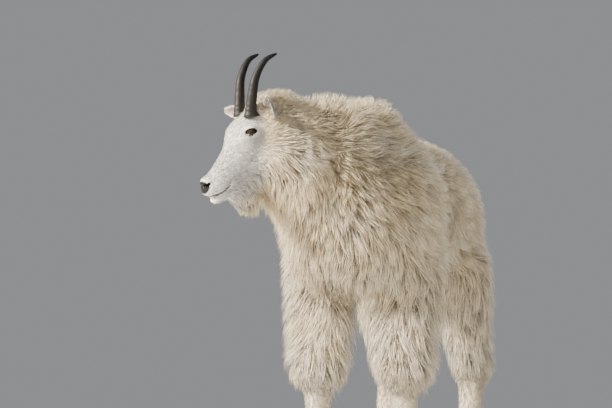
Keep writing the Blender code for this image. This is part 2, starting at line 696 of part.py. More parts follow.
def fuse_locks(obj, fat, locks, seed, where, length_share=1.0):
    """Grows locks from the node's core where asked and joins them to it, and grown ones to its swollen copy."""
    spacing, width = locks
    roots = surface_points(obj, 4000, seed)
    depth, _, _ = coat_at(roots)
    normals = slope(core, roots)
    wanted = (np.abs(core(roots)) < 0.006) & (depth > 0.012) & (normals[:, 2] > -0.55)
    wanted &= where(roots)
    roots = roots[wanted]
    roots = roots[thin_out(roots, np.full(len(roots), spacing))]
    _, length, lie = coat_at(roots)
    random = np.random.default_rng(seed + 1)
    length = (length * random.uniform(0.9, 1.15, len(roots)) + LOCK_SUNK) * length_share
    lie = lie + random.normal(0.0, 0.08, (len(roots), 3))
    lie /= np.linalg.norm(lie, axis=1)[:, None]
    paths, outward = lock_paths(roots, length, lie)
    broad = width * random.uniform(0.85, 1.1, len(roots))
    for whole, grown in ((obj, 0.0), (fat, CLEARANCE)):
        collection = bpy.data.collections.new("locks")
        bpy.context.scene.collection.children.link(collection)
        for i, (path, normal) in enumerate(zip(paths, outward)):
            thickness = LOCK_THICKNESS_SHARE * broad[i] + LOCK_THICKNESS
            lock = lock_object(i, path, normal, broad[i], thickness, grown)
            bpy.context.scene.collection.objects.unlink(lock)
            collection.objects.link(lock)
        boolean(whole, "UNION", collection=collection)
        for lock in list(collection.objects):
            bpy.data.objects.remove(lock)
        bpy.data.collections.remove(collection)
        keep_largest(whole)


def head_side(points, margin):
    """Positive for points outside the head's own part, grown by a margin."""
    past = [(place - points) @ (normal / np.linalg.norm(normal)) - margin for place, normal in HEAD_CUTS]
    return np.maximum(*past)


def under_chin(points):
    """True on the lower part of the beard."""
    ahead = (points - BEARD_PLACE) @ LEVEL_AHEAD
    return (points[:, 2] < BEARD_PLACE[2] + 0.012) & (np.abs(ahead) < BEARD_SIZE[0])


def away_from_head(points):
    """True where a lock's root is clear of the head's cut and of the neck's own lower cut."""
    behind = (NECK_CUT_POINT - points) @ NECK_CUT_NORMAL
    low_enough = points[:, 2] < 0.87
    return (head_side(points, 0.02) > 0.0) & (behind < -0.02) & (low_enough | (head_side(points, 0.09) > 0.0))


def away_from_seams(points):
    """True where a lock's root on the torso is clear of the neck's cut."""
    behind = (NECK_CUT_POINT - points) @ NECK_CUT_NORMAL
    return behind > 0.02


def cut_by_head_part(obj):
    """Takes the head's own part of space out of a neighbour."""
    wedge = half_space(HEAD_CUTS[0][0], HEAD_CUTS[0][1], GAP / 2)
    keep_side(wedge, HEAD_CUTS[1][0], -HEAD_CUTS[1][1], -GAP / 2)
    boolean(obj, "DIFFERENCE", other=wedge)
    bpy.data.objects.remove(wedge)


def node_from_field(name, field, low, high, cell, triangles, finish):
    """A node meshed from a field inside its bounds and thinned."""
    vertices, triangles_found = marching_tetrahedra(field, low, high, cell)
    obj = mesh_object(name, vertices, triangles_found, finish)
    keep_largest(obj)
    decimate(obj, triangles)
    return obj


def make_torso(finish):
    """The trunk above the legs and behind the neck."""
    low, high = (-0.34, -0.62, LEG_CUT_Z - 0.05), (0.34, 0.62, 1.06)

    def field(points):
        below = LEG_CUT_Z - 0.03 - points[:, 2]
        ahead = (points - NECK_CUT_POINT) @ NECK_CUT_NORMAL - 0.04
        return np.maximum(np.maximum(core(points), below), ahead)

    torso = node_from_field("torso", field, low, high, BODY_CELL, TORSO_TRIANGLES, finish)
    keep_side(torso, (0, 0, LEG_CUT_Z), (0, 0, -1))
    keep_side(torso, NECK_CUT_POINT, NECK_CUT_NORMAL)
    return torso


def make_neck(finish):
    """The neck between the torso and the head."""
    low, high = (-0.40, -0.80, 0.50), (0.30, -0.20, 1.06)

    def field(points):
        behind = (NECK_CUT_POINT - points) @ NECK_CUT_NORMAL - 0.03
        return np.maximum(np.maximum(core(points), -head_side(points, -0.03)), behind)

    neck = node_from_field("neck", field, low, high, NECK_CELL, NECK_TRIANGLES, finish)
    cut_by_head_part(neck)
    keep_side(neck, NECK_CUT_POINT, -NECK_CUT_NORMAL)
    keep_largest(neck)
    return neck


def make_head(finish):
    """The head in front of its cuts, with the beard's core and the openings of the face."""
    corners = from_head([(a, b, c) for a in (-0.05, 0.30) for b in (-0.09, 0.09) for c in (-0.16, 0.09)])
    low, high = corners.min(0), corners.max(0)

    def field(points):
        return np.maximum(core(points), head_side(points, 0.012))

    head = node_from_field("head", field, low, high, HEAD_CELL, HEAD_TRIANGLES, finish)
    for place, normal in HEAD_CUTS:
        keep_side(head, place, -normal)
    keep_largest(head)
    return head


def make_leg(name, finish):
    """A leg from the trunk down to the top of its hoof."""
    leg = LEGS[name]
    x, y = leg["side"] * LEG_SPREAD, leg["foot_y"]
    low = (min(0.0, leg["side"] * 0.30), y - 0.20, 0.01)
    high = (max(0.0, leg["side"] * 0.30), y + 0.26, LEG_CUT_Z + 0.06)

    def field(points):
        above = points[:, 2] - LEG_CUT_Z - 0.03
        inner = 0.006 - leg["side"] * points[:, 0]
        return np.maximum(np.maximum(core(points), above), inner)

    made = node_from_field(name, field, low, high, LEG_CELL, LEG_TRIANGLES, finish)
    keep_side(made, (0, 0, LEG_CUT_Z), (0, 0, 1))
    coronet, _ = leg_joints(leg)[-1]
    keep_side(made, (x, coronet[1], HOOF_TOP), HOOF_NORMAL)
    return made


def make_claw(name, leg, inner, finish):
    """One of a foot's two claws: a flat sole, a pointed toe and a top cut along the coronet."""
    coronet, _ = leg_joints(leg)[-1]
    turn = leg["side"] * (-1 if inner else 1)
    sides = 14
    vertices, faces = [], []
    for level, (size, shift) in enumerate(((1.0, 0.0), (1.02, 0.002), (0.80, 0.012))):
        for i in range(sides):
            angle = 2.0 * math.pi * i / sides
            across = max(0.0, 0.5 + 0.5 * math.cos(angle)) ** 0.8
            along = -math.sin(angle)
            toe = 1.0 + 0.10 * max(0.0, along)
            y = coronet[1] - 0.004 - 0.5 * HOOF_LENGTH * along * toe * size + shift
            x = coronet[0] + turn * (CLEFT + HOOF_WIDTH * across * size * (1.0 - 0.35 * max(0.0, along) ** 2))
            tilt = (y - coronet[1]) * HOOF_NORMAL[1]
            z = (0.0, 0.006, HOOF_TOP - GAP + tilt)[level]
            vertices.append((x, y, z))
    for level in range(2):
        for i in range(sides):
            a, b = level * sides + i, level * sides + (i + 1) % sides
            faces.append((a, b, b + sides, a + sides))
    faces.append(tuple(reversed(range(sides))))
    faces.append(tuple(range(2 * sides, 3 * sides)))
    return mesh_object(name, vertices, faces, finish)


def horn_radius(share):
    """How thick a horn is this far along: a stout root, then a slow taper to the point."""
    return HORN_RADIUS * (0.66 * (1.0 - share) ** 0.5 + 0.34 * math.exp(-share / 0.08)) + HORN_TIP


def smooth_line(points, count):
    """Points evenly spread along a smooth curve through the given ones."""
    points = np.array(points, float)
    padded = np.vstack((2 * points[0] - points[1], points, 2 * points[-1] - points[-2]))
    places = np.linspace(0.0, len(points) - 1.0001, count)
    made = []
    for place in places:
        i, t = int(place), place - int(place)
        a, b, c, d = padded[i : i + 4]
        bend = (2 * a - 5 * b + 4 * c - d) * t**2 + (3 * b - a - 3 * c + d) * t**3
        made.append(0.5 * (2 * b + (c - a) * t + bend))
    return np.array(made)


def make_horn(name, side, finish):
    """A horn that sweeps up and back to a point, with growth rings on its lower half."""
    line = smooth_line([(ahead, side * left, up) for ahead, left, up in HORN_LINE], 19)
    oval, ring_height, ring_turns = HORN_RINGS
    around = 12
    vertices, faces = [], []
    for i, centre in enumerate(line):
        share = i / (len(line) - 1)
        along = line[min(i + 1, len(line) - 1)] - line[max(i - 1, 0)]
        along /= np.linalg.norm(along)
        across = np.cross(along, (0.0, 1.0, 0.0))
        across /= np.linalg.norm(across)
        other = np.cross(along, across)
        ring = ring_height * math.sin(share * ring_turns) * max(0.0, 1.0 - share / 0.5)
        radius = horn_radius(share) * (1.0 + ring)
        for k in range(around):
            angle = 2.0 * math.pi * k / around
            vertices.append(centre + radius * (oval * math.cos(angle) * across + math.sin(angle) * other))
    for i in range(len(line) - 1):
        for k in range(around):
            a, b = i * around + k, i * around + (k + 1) % around
            faces.append((a, b, b + around, a + around))
    faces.append(tuple(reversed(range(around))))
    faces.append(tuple(range((len(line) - 1) * around, len(line) * around)))
    return mesh_object(name, from_head(vertices), faces, finish)


def ear_frame(name):
    """Base and the ear's own tipward, across and cup directions in the goat's frame."""
    (lateral, forward, rise), side = EAR_AIM[name]
    tipward = LEVEL_AHEAD * forward + side * HEAD_AXES[1] * lateral + np.array((0, 0, rise))
    tipward /= np.linalg.norm(tipward)
    opening = HEAD_AXES[0] * 0.55 + LEVEL_AHEAD * 0.75 + side * HEAD_AXES[1] * 0.15
    opening -= tipward * (opening @ tipward)
    opening /= np.linalg.norm(opening)
    return from_head(EAR_BASE * (1, side, 1)), tipward, np.cross(tipward, opening), opening


def make_ear(name, finish):
    """A leaf-shaped ear, cupped towards the face."""
    base, tipward, across, opening = ear_frame(name)
    rows, columns = 9, 8
    outer, inner = [], []
    for i in range(rows):
        share = i / (rows - 1)
        half = 0.5 * EAR_WIDTH * math.sin(math.pi * (0.20 + 0.78 * share) ** 0.9) ** 0.75
        curl = EAR_CURL * (1.0 - 0.55 * share)
        for k in range(columns):
            turn = (2.0 * k / (columns - 1) - 1.0) * curl
            bow = half / math.sin(min(curl, 1.5))
            point = base + tipward * (share * EAR_LENGTH - 0.012) + across * bow * math.sin(turn)
            point = point - opening * bow * (math.cos(turn) - math.cos(curl))
            outward = across * math.sin(turn) - opening * math.cos(turn)
            wall = EAR_WALL * (1.0 - 0.45 * share) * (1.0 - 0.35 * abs(turn) / curl)
            outer.append(point + outward * wall * 0.5)
            inner.append(point - outward * wall * 0.5)
    vertices = outer + inner
    size = rows * columns
    faces = []
    for i in range(rows - 1):
        for k in range(columns - 1):
            a = i * columns + k
            b, c, d = a + 1, a + columns + 1, a + columns
            faces += [(a, b, c), (a, c, d), (size + a, size + c, size + b), (size + a, size + d, size + c)]
    rim = [k for k in range(columns)]
    rim += [i * columns + columns - 1 for i in range(1, rows)]
    rim += [(rows - 1) * columns + k for k in range(columns - 2, -1, -1)]
    rim += [i * columns for i in range(rows - 2, 0, -1)]
    for a, b in zip(rim, rim[1:] + rim[:1]):
        faces += [(a, size + a, size + b), (a, size + b, b)]
    return mesh_object(name, vertices, faces, finish)


def make_eye(name, side, finish):
    """An eyeball as a closed ball."""
    shape = bmesh.new()
    bmesh.ops.create_uvsphere(shape, u_segments=14, v_segments=10, radius=EYE_RADIUS)
    bmesh.ops.translate(shape, verts=shape.verts[:], vec=from_head(EYE_PLACE * (1, side, 1)).tolist())
    mesh = bpy.data.meshes.new(name)
    shape.to_mesh(mesh)
    shape.free()
    mesh.materials.append(finish)
    mesh.shade_smooth()
    obj = bpy.data.objects.new(name, mesh)
    bpy.context.scene.collection.objects.link(obj)
    return obj


def make_tail(finish):
    """The short tail that hangs from the rump."""

    def field(points):
        return rod(points, TAIL_ROOT, TAIL_TIP, 0.026, 0.017)

    low = np.minimum(TAIL_ROOT, TAIL_TIP) - 0.05
    high = np.maximum(TAIL_ROOT, TAIL_TIP) + 0.05
    return node_from_field("tail", field, low, high, TAIL_CELL, TAIL_TRIANGLES, finish)


def centre_on_floor(objects):
    """Moves every piece alike, so that the origin lies under the middle of the whole goat's box."""
    corners = np.array([vertex.co for obj in objects for vertex in obj.data.vertices])
    middle = 0.5 * (corners.min(0) + corners.max(0))
    for obj in objects:
        obj.location = (-middle[0], -middle[1], 0.0)


def on_coated_trunk(points):
    """True where a lock's root on the torso is clear of its cuts."""
    return away_from_seams(points) & (points[:, 2] > LEG_CUT_Z + 0.023)


def on_coated_leg(points):
    """True between a leg's top cut and the foot of its long coat."""
    return (points[:, 2] < LEG_CUT_Z - 0.03) & (points[:, 2] > COAT_FOOT_Z)


def main():
    """Builds every node, fuses the locks to theirs and cuts each clear of its neighbours."""
    for obj in list(bpy.data.objects):
        bpy.data.objects.remove(obj)
    coat = material("coat", (0.72, 0.66, 0.53), 0.85)
    horn = material("horn", (0.06, 0.05, 0.04), 0.4)
    hoof = material("hoof", (0.05, 0.05, 0.05), 0.5)
    eye = material("eye", (0.12, 0.05, 0.02), 0.1)

    head = make_head(coat)
    neck = make_neck(coat)
    torso = make_torso(coat)
    tail = make_tail(coat)
    legs = [make_leg(name, coat) for name in LEGS]
    fat_head, fat_neck, fat_torso = [swollen(obj) for obj in (head, neck, torso)]
    fuse_locks(torso, fat_torso, TORSO_LOCKS, 11, on_coated_trunk)
    fuse_locks(neck, fat_neck, NECK_LOCKS, 12, away_from_head)
    fuse_locks(head, fat_head, BEARD_LOCKS, 73, under_chin, BEARD_LENGTH_SHARE)
    for leg, stance in zip(legs, LEGS.values()):
        fat_leg = swollen(leg)
        fuse_locks(leg, fat_leg, LEG_LOCKS, stance["seed"], on_coated_leg)
        bpy.data.objects.remove(fat_leg)
    eyes = [make_eye("eye_left", 1, eye), make_eye("eye_right", -1, eye)]
    horns = [make_horn("horn_left", 1, horn), make_horn("horn_right", -1, horn)]
    ears = [make_ear(name, coat) for name in EAR_AIM]
    for name, leg in LEGS.items():
        foot = name.replace("leg", "hoof")
        make_claw(foot + "_inner", leg, True, hoof)
        make_claw(foot + "_outer", leg, False, hoof)

    fat_eyes = [swollen(obj) for obj in eyes]
    clear_of(head, fat_eyes)
    clear_of(neck, [fat_head])
    clear_of(torso, [fat_neck, fat_head])
    clear_of(tail, [fat_torso])
    for leg in legs:
        clear_of(leg, [fat_torso, torso])
    for obj in horns + ears:
        clear_of(obj, [fat_head, fat_neck])
    for fat in (fat_head, fat_neck, fat_torso, *fat_eyes):
        bpy.data.objects.remove(fat)
    for obj in bpy.data.objects:
        part_touching(obj)
    centre_on_floor(bpy.data.objects)


main()
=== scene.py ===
"""The looks of a life-size mountain goat: its skin, coat and head's details, a floor, light and a camera.

The flesh is the same smooth field of ellipsoids and tapered rods that the solids come from, drawn about
a point on the floor between the feet and moved by MIDDLE into the frame. The skin is meshed inside that
field's coat, and the coat is grown over it as thin, flat strands that follow the lie and gather in wisps.
"""

import itertools
import math

import bpy
import numpy as np
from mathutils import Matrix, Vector, kdtree


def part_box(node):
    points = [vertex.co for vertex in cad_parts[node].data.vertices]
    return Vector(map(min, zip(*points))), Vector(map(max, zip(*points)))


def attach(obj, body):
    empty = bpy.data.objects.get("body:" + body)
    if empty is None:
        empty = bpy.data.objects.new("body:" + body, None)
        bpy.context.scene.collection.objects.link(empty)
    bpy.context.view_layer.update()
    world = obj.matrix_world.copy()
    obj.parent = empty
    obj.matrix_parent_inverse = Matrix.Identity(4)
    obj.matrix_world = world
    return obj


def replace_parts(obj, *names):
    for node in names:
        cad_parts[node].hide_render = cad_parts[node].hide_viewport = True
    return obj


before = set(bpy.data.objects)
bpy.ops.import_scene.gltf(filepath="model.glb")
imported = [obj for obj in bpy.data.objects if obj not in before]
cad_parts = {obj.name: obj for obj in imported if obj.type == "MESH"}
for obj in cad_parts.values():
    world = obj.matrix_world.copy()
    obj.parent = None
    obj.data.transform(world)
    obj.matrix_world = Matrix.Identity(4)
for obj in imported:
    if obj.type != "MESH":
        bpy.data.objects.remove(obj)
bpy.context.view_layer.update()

# Driving sizes of the goat, as the solids have them
HUMP_TOP = 0.908
TRUNK_MIDDLE = 0.70
LEG_SPREAD = 0.106
FRONT_FEET_Y = -0.30
HIND_FEET_Y = 0.225
HEAD_TURN = math.radians(42.0)
HEAD_PITCH = math.radians(44.7)
POLL = np.array((-0.140, -0.553, 0.951))

# The head, in its own forward, left and up directions from the poll: eyes, lids, nostrils and mouth
EYE_RADIUS = 0.0165
EYE_PLACE = np.array((0.109, 0.035, 0.017))
EYE_GAZE = (0.42, 0.90, 0.02)
EYE_ROWS = 48
EYE_SIDES = 64
CORNEA = 0.0010
CORNEA_ANGLE = 0.62
PUPIL_RADII = (0.52, 0.30)
PUPIL_EDGE = (0.75, 1.05)
IRIS_EDGE = (0.72, 0.80)
IRIS_RIM = 0.74
IRIS_RIM_REACH = 0.07
NOSTRIL = ((0.279, 0.008, 0.002), (0.268, 0.017, -0.001), 0.0036, 0.0044)
MOUTH_LINE = (
    (0.289, 0.0, -0.0255),
    (0.279, 0.014, -0.0315),
    (0.265, 0.021, -0.0363),
    (0.2365, 0.03, -0.0402),
)
PHILTRUM = ((0.2830, 0.0, -0.0080), (0.2895, 0.0, -0.0230))
SLIT_OUT = np.array((0.004, 0.0165, 0.004))
SLIT_TILT = math.radians(33.0)
SLIT_SHIFT = 0.0035
SLIT_RADII = (0.0170, 0.0120, 0.0120)
MOUTH_RADIUS = 0.0026
PHILTRUM_RADIUS = 0.0016
OPENING_RIM = 0.0010
NOSE_PAD = ((0.280, 0.0, -0.002), (0.019, 0.0215, 0.0155))
BEARD_SIZE = (0.032, 0.011, 0.023)

# Horns: their size and line, the height where they turn dark, their mesh, growth rings and fine grooves
HORN_RADIUS = 0.0195
HORN_TIP = 0.0010
HORN_ROOT_Z = 0.985
HORN_DARK_Z = 1.055
HORN_ROWS = 150
HORN_SIDES = 40
HORN_OVAL = 1.08
HORN_BODY = 0.66
HORN_FLARE = 0.34
HORN_FLARE_REACH = 0.08
HORN_RING = 0.085
HORN_RINGS_END = 0.62
HORN_GROOVES = 17.0
HORN_GROOVE = 0.006
HORN_LINE = (
    (0.0742, 0.0262, 0.0382),
    (0.0655, 0.0275, 0.0501),
    (0.0383, 0.0310, 0.0744),
    (0.0094, 0.0350, 0.0970),
    (-0.0195, 0.0390, 0.1094),
    (-0.0472, 0.0425, 0.1127),
    (-0.0755, 0.0450, 0.1035),
)

# Ears: their size, mesh and place, and each one's aim as sideways, ahead and up, with its side
EAR_LENGTH = 0.098
EAR_WIDTH = 0.046
EAR_WALL = 0.0045
EAR_THIN = 0.6
EAR_CURL = 1.25
EAR_SUNK = 0.012
EAR_ROWS = 30
EAR_COLUMNS = 22
EAR_HAIR_WIDTH = 0.0011
EAR_BASE = np.array((0.043, 0.044, 0.012))
EAR_AIM = {
    "ear_left": ((0.075, 0.050, 0.050), 1),
    "ear_right": ((0.088, 0.036, 0.012), -1),
}

# The ears' hair on the back, along both rims and in the cup: count, shares of the length and of the half
# width, lift off the sheet, strand length, height and side
EAR_HAIR = (
    (1500, (0.02, 0.97), (-1.0, 1.0), 0.5, 0.009, 0.0009, 1.0),
    (340, (0.05, 0.90), (-1.0, -0.82), 0.0, 0.013, 0.0012, -1.0),
    (340, (0.05, 0.90), (0.82, 1.0), 0.0, 0.013, 0.0012, -1.0),
    (260, (0.02, 0.40), (-0.8, 0.8), -0.5, 0.018, 0.0040, -1.0),
)

# Tail, and hooves with their claws
TAIL_ROOT = np.array((0.0, 0.375, 0.745))
TAIL_TIP = np.array((0.0, 0.440, 0.655))
HOOF_TOP = 0.036
HOOF_NORMAL = (0.0, 0.22, -1.0)
HOOF_LENGTH = 0.070
HOOF_WIDTH = 0.027
CLEFT = 0.0028
CLAW_SIDES = 48
CLAW_SOLE = 0.006

# Size, shift backwards and height of each ring of a claw: metres in the sole, shares of the wall above it
CLAW_LEVELS = (
    (0.90, 0.003, 0.0),
    (0.985, 0.001, 0.0005),
    (1.0, 0.0, 0.002),
    (1.015, 0.001, 0.006),
    (0.99, 0.003, 0.35),
    (0.93, 0.006, 0.60),
    (0.86, 0.009, 0.85),
    (0.80, 0.012, 0.97),
    (0.72, 0.013, 1.0),
)

# How fields are meshed: steps between coarse samples, cells from the surface that are refined, and how
# far a value stays off zero and a vertex off its edge's ends
SLOPE_STEP = 0.002
TINY = 1e-9
COARSE_STEP = 4
REFINED_CELLS = 6.0
OFF_ZERO = 1e-6
OFF_CORNER = 0.02

# The triangles that cut a tetrahedron with this many of its corners inside, each as three of its edges
TETRAHEDRON_CUTS = {
    1: (((0, 1), (0, 2), (0, 3)),),
    2: (((0, 2), (0, 3), (1, 3)), ((0, 2), (1, 3), (1, 2))),
    3: (((0, 3), (1, 3), (2, 3)),),
}

# The skin: the share of the coat's depth that lies under it, and its meshes
SKIN_SHARE = 0.28
BODY_CELL = 0.012
LEG_CELL = 0.0075
LEG_TOP = 0.33
HEAD_CELL = 0.0023
SKIN_TRIANGLES = 190000
HEAD_LAP = 0.012

# Sizes of the strands, how high they lie on the coat and how they taper
STRAND_WIDTH = 0.00105
WIDTH_FOR_LENGTH = 0.0195
LONG_STRAND = 0.021
LAYERS_LONG = 2.4
LAYERS_SHORT = 1.3
ROOT_SUNK = 0.003
WISP_PULL = 0.62
MOST_TRIANGLES = 198000
BAKE_PATCH = 0.003
LID_CLEAR = 0.012
RISE_POWER = 0.6
STRAY_SHARE = 1.15
STRAY = 0.002
TAPER = 0.80
TAPER_POWER = 1.3
RIDGE = 0.18
PATHS_AT_ONCE = 20000
COAT_SEED = 5
BARE_FROM = 0.45
SHORT_TO_LONG = (0.012, 0.045)
COVER = 0.6

# Where the coat is parted into pieces
SHOULDER_Y = -0.20
RUMP_Y = 0.13
CHEST_Y = -0.40
LEG_COAT_TOP = 0.50
NECK_PLACE = np.array((0.0, -0.395, 0.80))
NECK_AHEAD = np.array((-0.30, -0.85, 0.44))
HEAD_LOW = -0.20
MUZZLE_FROM = 0.12

# How much strands differ: shares of their place's spacing, depth, length and width, their pull to the wisp's
# leader, and how far their lie and tone stray
SPACING_RANGE = (0.6, 1.2)
LAYER_RANGE = (0.25, 1.05)
LENGTH_RANGE = (0.6, 1.15)
LEADER_LENGTH = 1.1
WIDTH_RANGE = (0.7, 1.25)
PULL_RANGE = (0.5, 1.2)
PULL_POWER = 1.4
DRIFTS = ((6, 0.035, 1.0), (7, 0.012, 0.6))
DRIFT_SHARE = 0.55
FRIZZ = 0.25
UNRULY = 0.07
OWN_TONE = 0.17
WISP_TONE = 0.10

# Soiled hair under the brisket and on the belly, knees and hocks: place, reach along each axis, strength
SOILED = (
    ((-0.043, -0.385, 0.503), (0.022, 0.060, 0.020), 1.0),
    ((-0.101, -0.371, 0.484), (0.012, 0.050, 0.010), 1.0),
    ((-0.055, -0.352, 0.452), (0.010, 0.050, 0.017), 1.0),
    ((-0.022, -0.318, 0.462), (0.014, 0.050, 0.015), 1.0),
    ((-0.045, -0.360, 0.490), (0.050, 0.080, 0.035), 0.40),
    ((0.0, -0.10, 0.480), (0.080, 0.120, 0.050), 0.40),
    ((0.105, -0.33, 0.280), (0.050, 0.060, 0.040), 0.35),
    ((-0.105, -0.33, 0.280), (0.050, 0.060, 0.040), 0.35),
    ((0.105, 0.27, 0.270), (0.050, 0.060, 0.040), 0.30),
    ((-0.105, 0.27, 0.270), (0.050, 0.060, 0.040), 0.30),
)

# Linear colours of the coat, horns, hooves, ears, eyes and floor
WHITE = (0.88, 0.86, 0.82, 1.0)
CREAM = (0.88, 0.715, 0.455, 1.0)
SOIL = (0.040, 0.024, 0.012, 1.0)
GREY = (0.40, 0.39, 0.38, 1.0)
BLACK = (0.008, 0.007, 0.007, 1.0)
HORN_BROWN = (0.012, 0.010, 0.008, 1.0)
HORN_BLACK = (0.004, 0.004, 0.004, 1.0)
HORN_DUST = (0.034, 0.028, 0.022, 1.0)
HOOF_DARK = (0.030, 0.026, 0.023, 1.0)
HOOF_BROWN = (0.075, 0.062, 0.050, 1.0)
HOOF_DUST = (0.20, 0.165, 0.125, 1.0)
EAR_PINK = (0.20, 0.145, 0.12, 1.0)
EAR_PALE = (0.40, 0.31, 0.26, 1.0)
IRIS_BROWN = (0.020, 0.008, 0.004, 1.0)
IRIS_AMBER = (0.075, 0.030, 0.011, 1.0)
SCLERA_BROWN = (0.045, 0.030, 0.022, 1.0)
EYE_RIM = (0.012, 0.008, 0.006, 1.0)
PUPIL_BLACK = (0.004, 0.004, 0.005, 1.0)
FLOOR_GREY = (0.62, 0.62, 0.61, 1.0)
FLOOR_PALE = (0.67, 0.67, 0.66, 1.0)

# How light a strand is at its root and tip, as painted shade deep in the coat and a faint painted highlight
# at the tips, and from the darkest to the lightest one
ROOT_SHADE_TO_TIP_LIGHT = (0.42, 1.08)
TONE_LIGHT = (0.70, 1.20)

# The photograph's view: level, a little ahead of the goat's left side, from about 18 m. Floor and light
CAMERA_TURN = math.radians(18.0)
CAMERA_AWAY = 18.0
CAMERA_HEIGHT = 0.7125
CAMERA_SHIFT = 0.2275
FRAME_WIDTH = 1.53
SENSOR = 36.0
FLOOR_RADIUS = 5.5
FLOOR_SIDES = 96
LIT_HEIGHT = 0.6
SKY_COLOUR = (0.76, 0.77, 0.79, 1.0)
SKY_STRENGTH = 0.38

# The lights: place, size in metres, power in watts and colour
LIGHTS = {
    "key": ((-4.4, -4.2, 3.9), 1.1, 2200.0, (1.0, 0.93, 0.81)),
    "fill": ((3.6, -4.2, 2.2), 3.5, 60.0, (0.86, 0.92, 1.0)),
    "rim": ((1.5, 4.5, 3.0), 2.5, 110.0, (0.90, 0.94, 1.0)),
}

LEGS = {
    f"leg_{end}_{hand}": {"side": side, "front": end == "front", "foot_y": feet_y + side * apart}
    for end, feet_y, apart in (("front", FRONT_FEET_Y, 0.015), ("hind", HIND_FEET_Y, 0.020))
    for hand, side in (("left", 1), ("right", -1))
}

# The coat's places on the body: place, reach, lie, depth off the flesh, and the strands' length, their wave
# and how far apart their wisps are. A place off the middle plane stands for both sides.
COAT = {
    "hump": ((0, -0.24, 0.93), 0.1, (0, 0.9, 0), 0.055, 0.034, 0.75, 0.014),
    "back": ((0, 0.05, 0.88), 0.13, (0, 0.9, -0.2), 0.037, 0.034, 0.75, 0.014),
    "croup": ((0, 0.28, 0.84), 0.11, (0, 0.7, -0.6), 0.036, 0.036, 0.7, 0.014),
    "rump": ((0, 0.41, 0.68), 0.1, (0, 0.25, -0.95), 0.042, 0.045, 0.6, 0.016),
    "shoulder": ((0.16, -0.25, 0.72), 0.11, (0, 0.35, -0.9), 0.052, 0.036, 0.65, 0.014),
    "ribs": ((0.16, 0, 0.72), 0.13, (0, 0.5, -0.8), 0.042, 0.036, 0.75, 0.014),
    "hip": ((0.12, 0.24, 0.7), 0.11, (0, 0.35, -0.9), 0.038, 0.045, 0.6, 0.016),
    "belly": ((0, 0.05, 0.56), 0.12, (0, 0.15, -1), 0.045, 0.075, 0.3, 0.022),
    "chest": ((0, -0.46, 0.66), 0.1, (0, 0.05, -1), 0.086, 0.058, 0.35, 0.018),
    "brisket": ((0, -0.36, 0.56), 0.08, (0, 0, -1), 0.06, 0.075, 0.3, 0.022),
    "breast": ((0.14, -0.4, 0.59), 0.06, (0.05, 0.05, -1), 0.082, 0.062, 0.35, 0.018),
    "forearm": ((0.12, -0.27, 0.47), 0.07, (0.08, 0.2, -1), 0.064, 0.075, 0.25, 0.022),
    "knee": ((0.11, -0.29, 0.375), 0.05, (0.05, 0.1, -1), 0.062, 0.062, 0.25, 0.02),
    "front_cannon": ((0.11, -0.3, 0.2), 0.065, (0, 0.1, -1), 0.005, 0.016, 0.1, 0.009),
    "front_foot": ((0.11, -0.31, 0.05), 0.05, (0, 0.1, -1), 0.003, 0.012, 0.1, 0.008),
    "thigh": ((0.12, 0.24, 0.53), 0.09, (0.05, 0.3, -1), 0.038, 0.075, 0.3, 0.022),
    "hock": ((0.105, 0.31, 0.385), 0.05, (0, 0.3, -1), 0.034, 0.055, 0.25, 0.02),
    "hind_cannon": ((0.105, 0.27, 0.2), 0.065, (0, 0.1, -1), 0.005, 0.016, 0.1, 0.009),
    "hind_foot": ((0.105, 0.23, 0.05), 0.05, (0, 0.1, -1), 0.003, 0.012, 0.1, 0.008),
    "crest": ((0, -0.4, 0.9), 0.07, (0.2, 0.8, -0.1), 0.056, 0.03, 0.65, 0.012),
}

# The same for the turned neck, whose two sides differ
NECK_COAT = {
    "neck_left": ((0.06, -0.5, 0.8), 0.08, (0.25, 0.25, -1), 0.058, 0.036, 0.55, 0.013),
    "neck_right": ((-0.17, -0.42, 0.8), 0.08, (0, 0.35, -1), 0.052, 0.036, 0.55, 0.013),
    "nape": ((-0.1, -0.47, 0.91), 0.045, (0.1, 0.8, -0.1), 0.076, 0.032, 0.6, 0.012),
    "throat": ((-0.08, -0.56, 0.74), 0.07, (0.05, 0.1, -1), 0.066, 0.058, 0.35, 0.016),
}

# The same for the head, in the head's own forward, left and up
HEAD_COAT = {
    "face": ((0.19, 0, -0.01), 0.055, (-1, 0, 0.1), 0.0035, 0.011, 0.05, 0.005),
    "forehead": ((0.11, 0, 0.035), 0.04, (-1, 0, 0.1), 0.006, 0.013, 0.15, 0.006),
    "muzzle": ((0.265, 0, -0.02), 0.035, (-1, 0, 0), 0.002, 0.006, 0.05, 0.004),
    "eye_side": ((0.115, 0.05, 0.01), 0.03, (-1, 0.1, -0.1), 0.004, 0.009, 0.05, 0.005),
    "poll": ((-0.01, 0, 0.04), 0.03, (-0.9, 0, 0.3), 0.02, 0.022, 0.5, 0.01),
    "ear_back": ((0.02, 0.056, 0.002), 0.016, (-0.9, 0.1, -0.3), 0.004, 0.008, 0.1, 0.006),
    "cheek": ((0.035, 0.055, -0.045), 0.035, (-0.5, 0.1, -0.6), 0.02, 0.018, 0.4, 0.008),
    "jaw": ((0.2, 0, -0.095), 0.045, (0.5, 0, -0.6), 0.014, 0.045, 0.2, 0.012),
    "gullet": ((0.01, 0, -0.12), 0.04, (0.3, 0, -0.7), 0.042, 0.05, 0.3, 0.014),
}

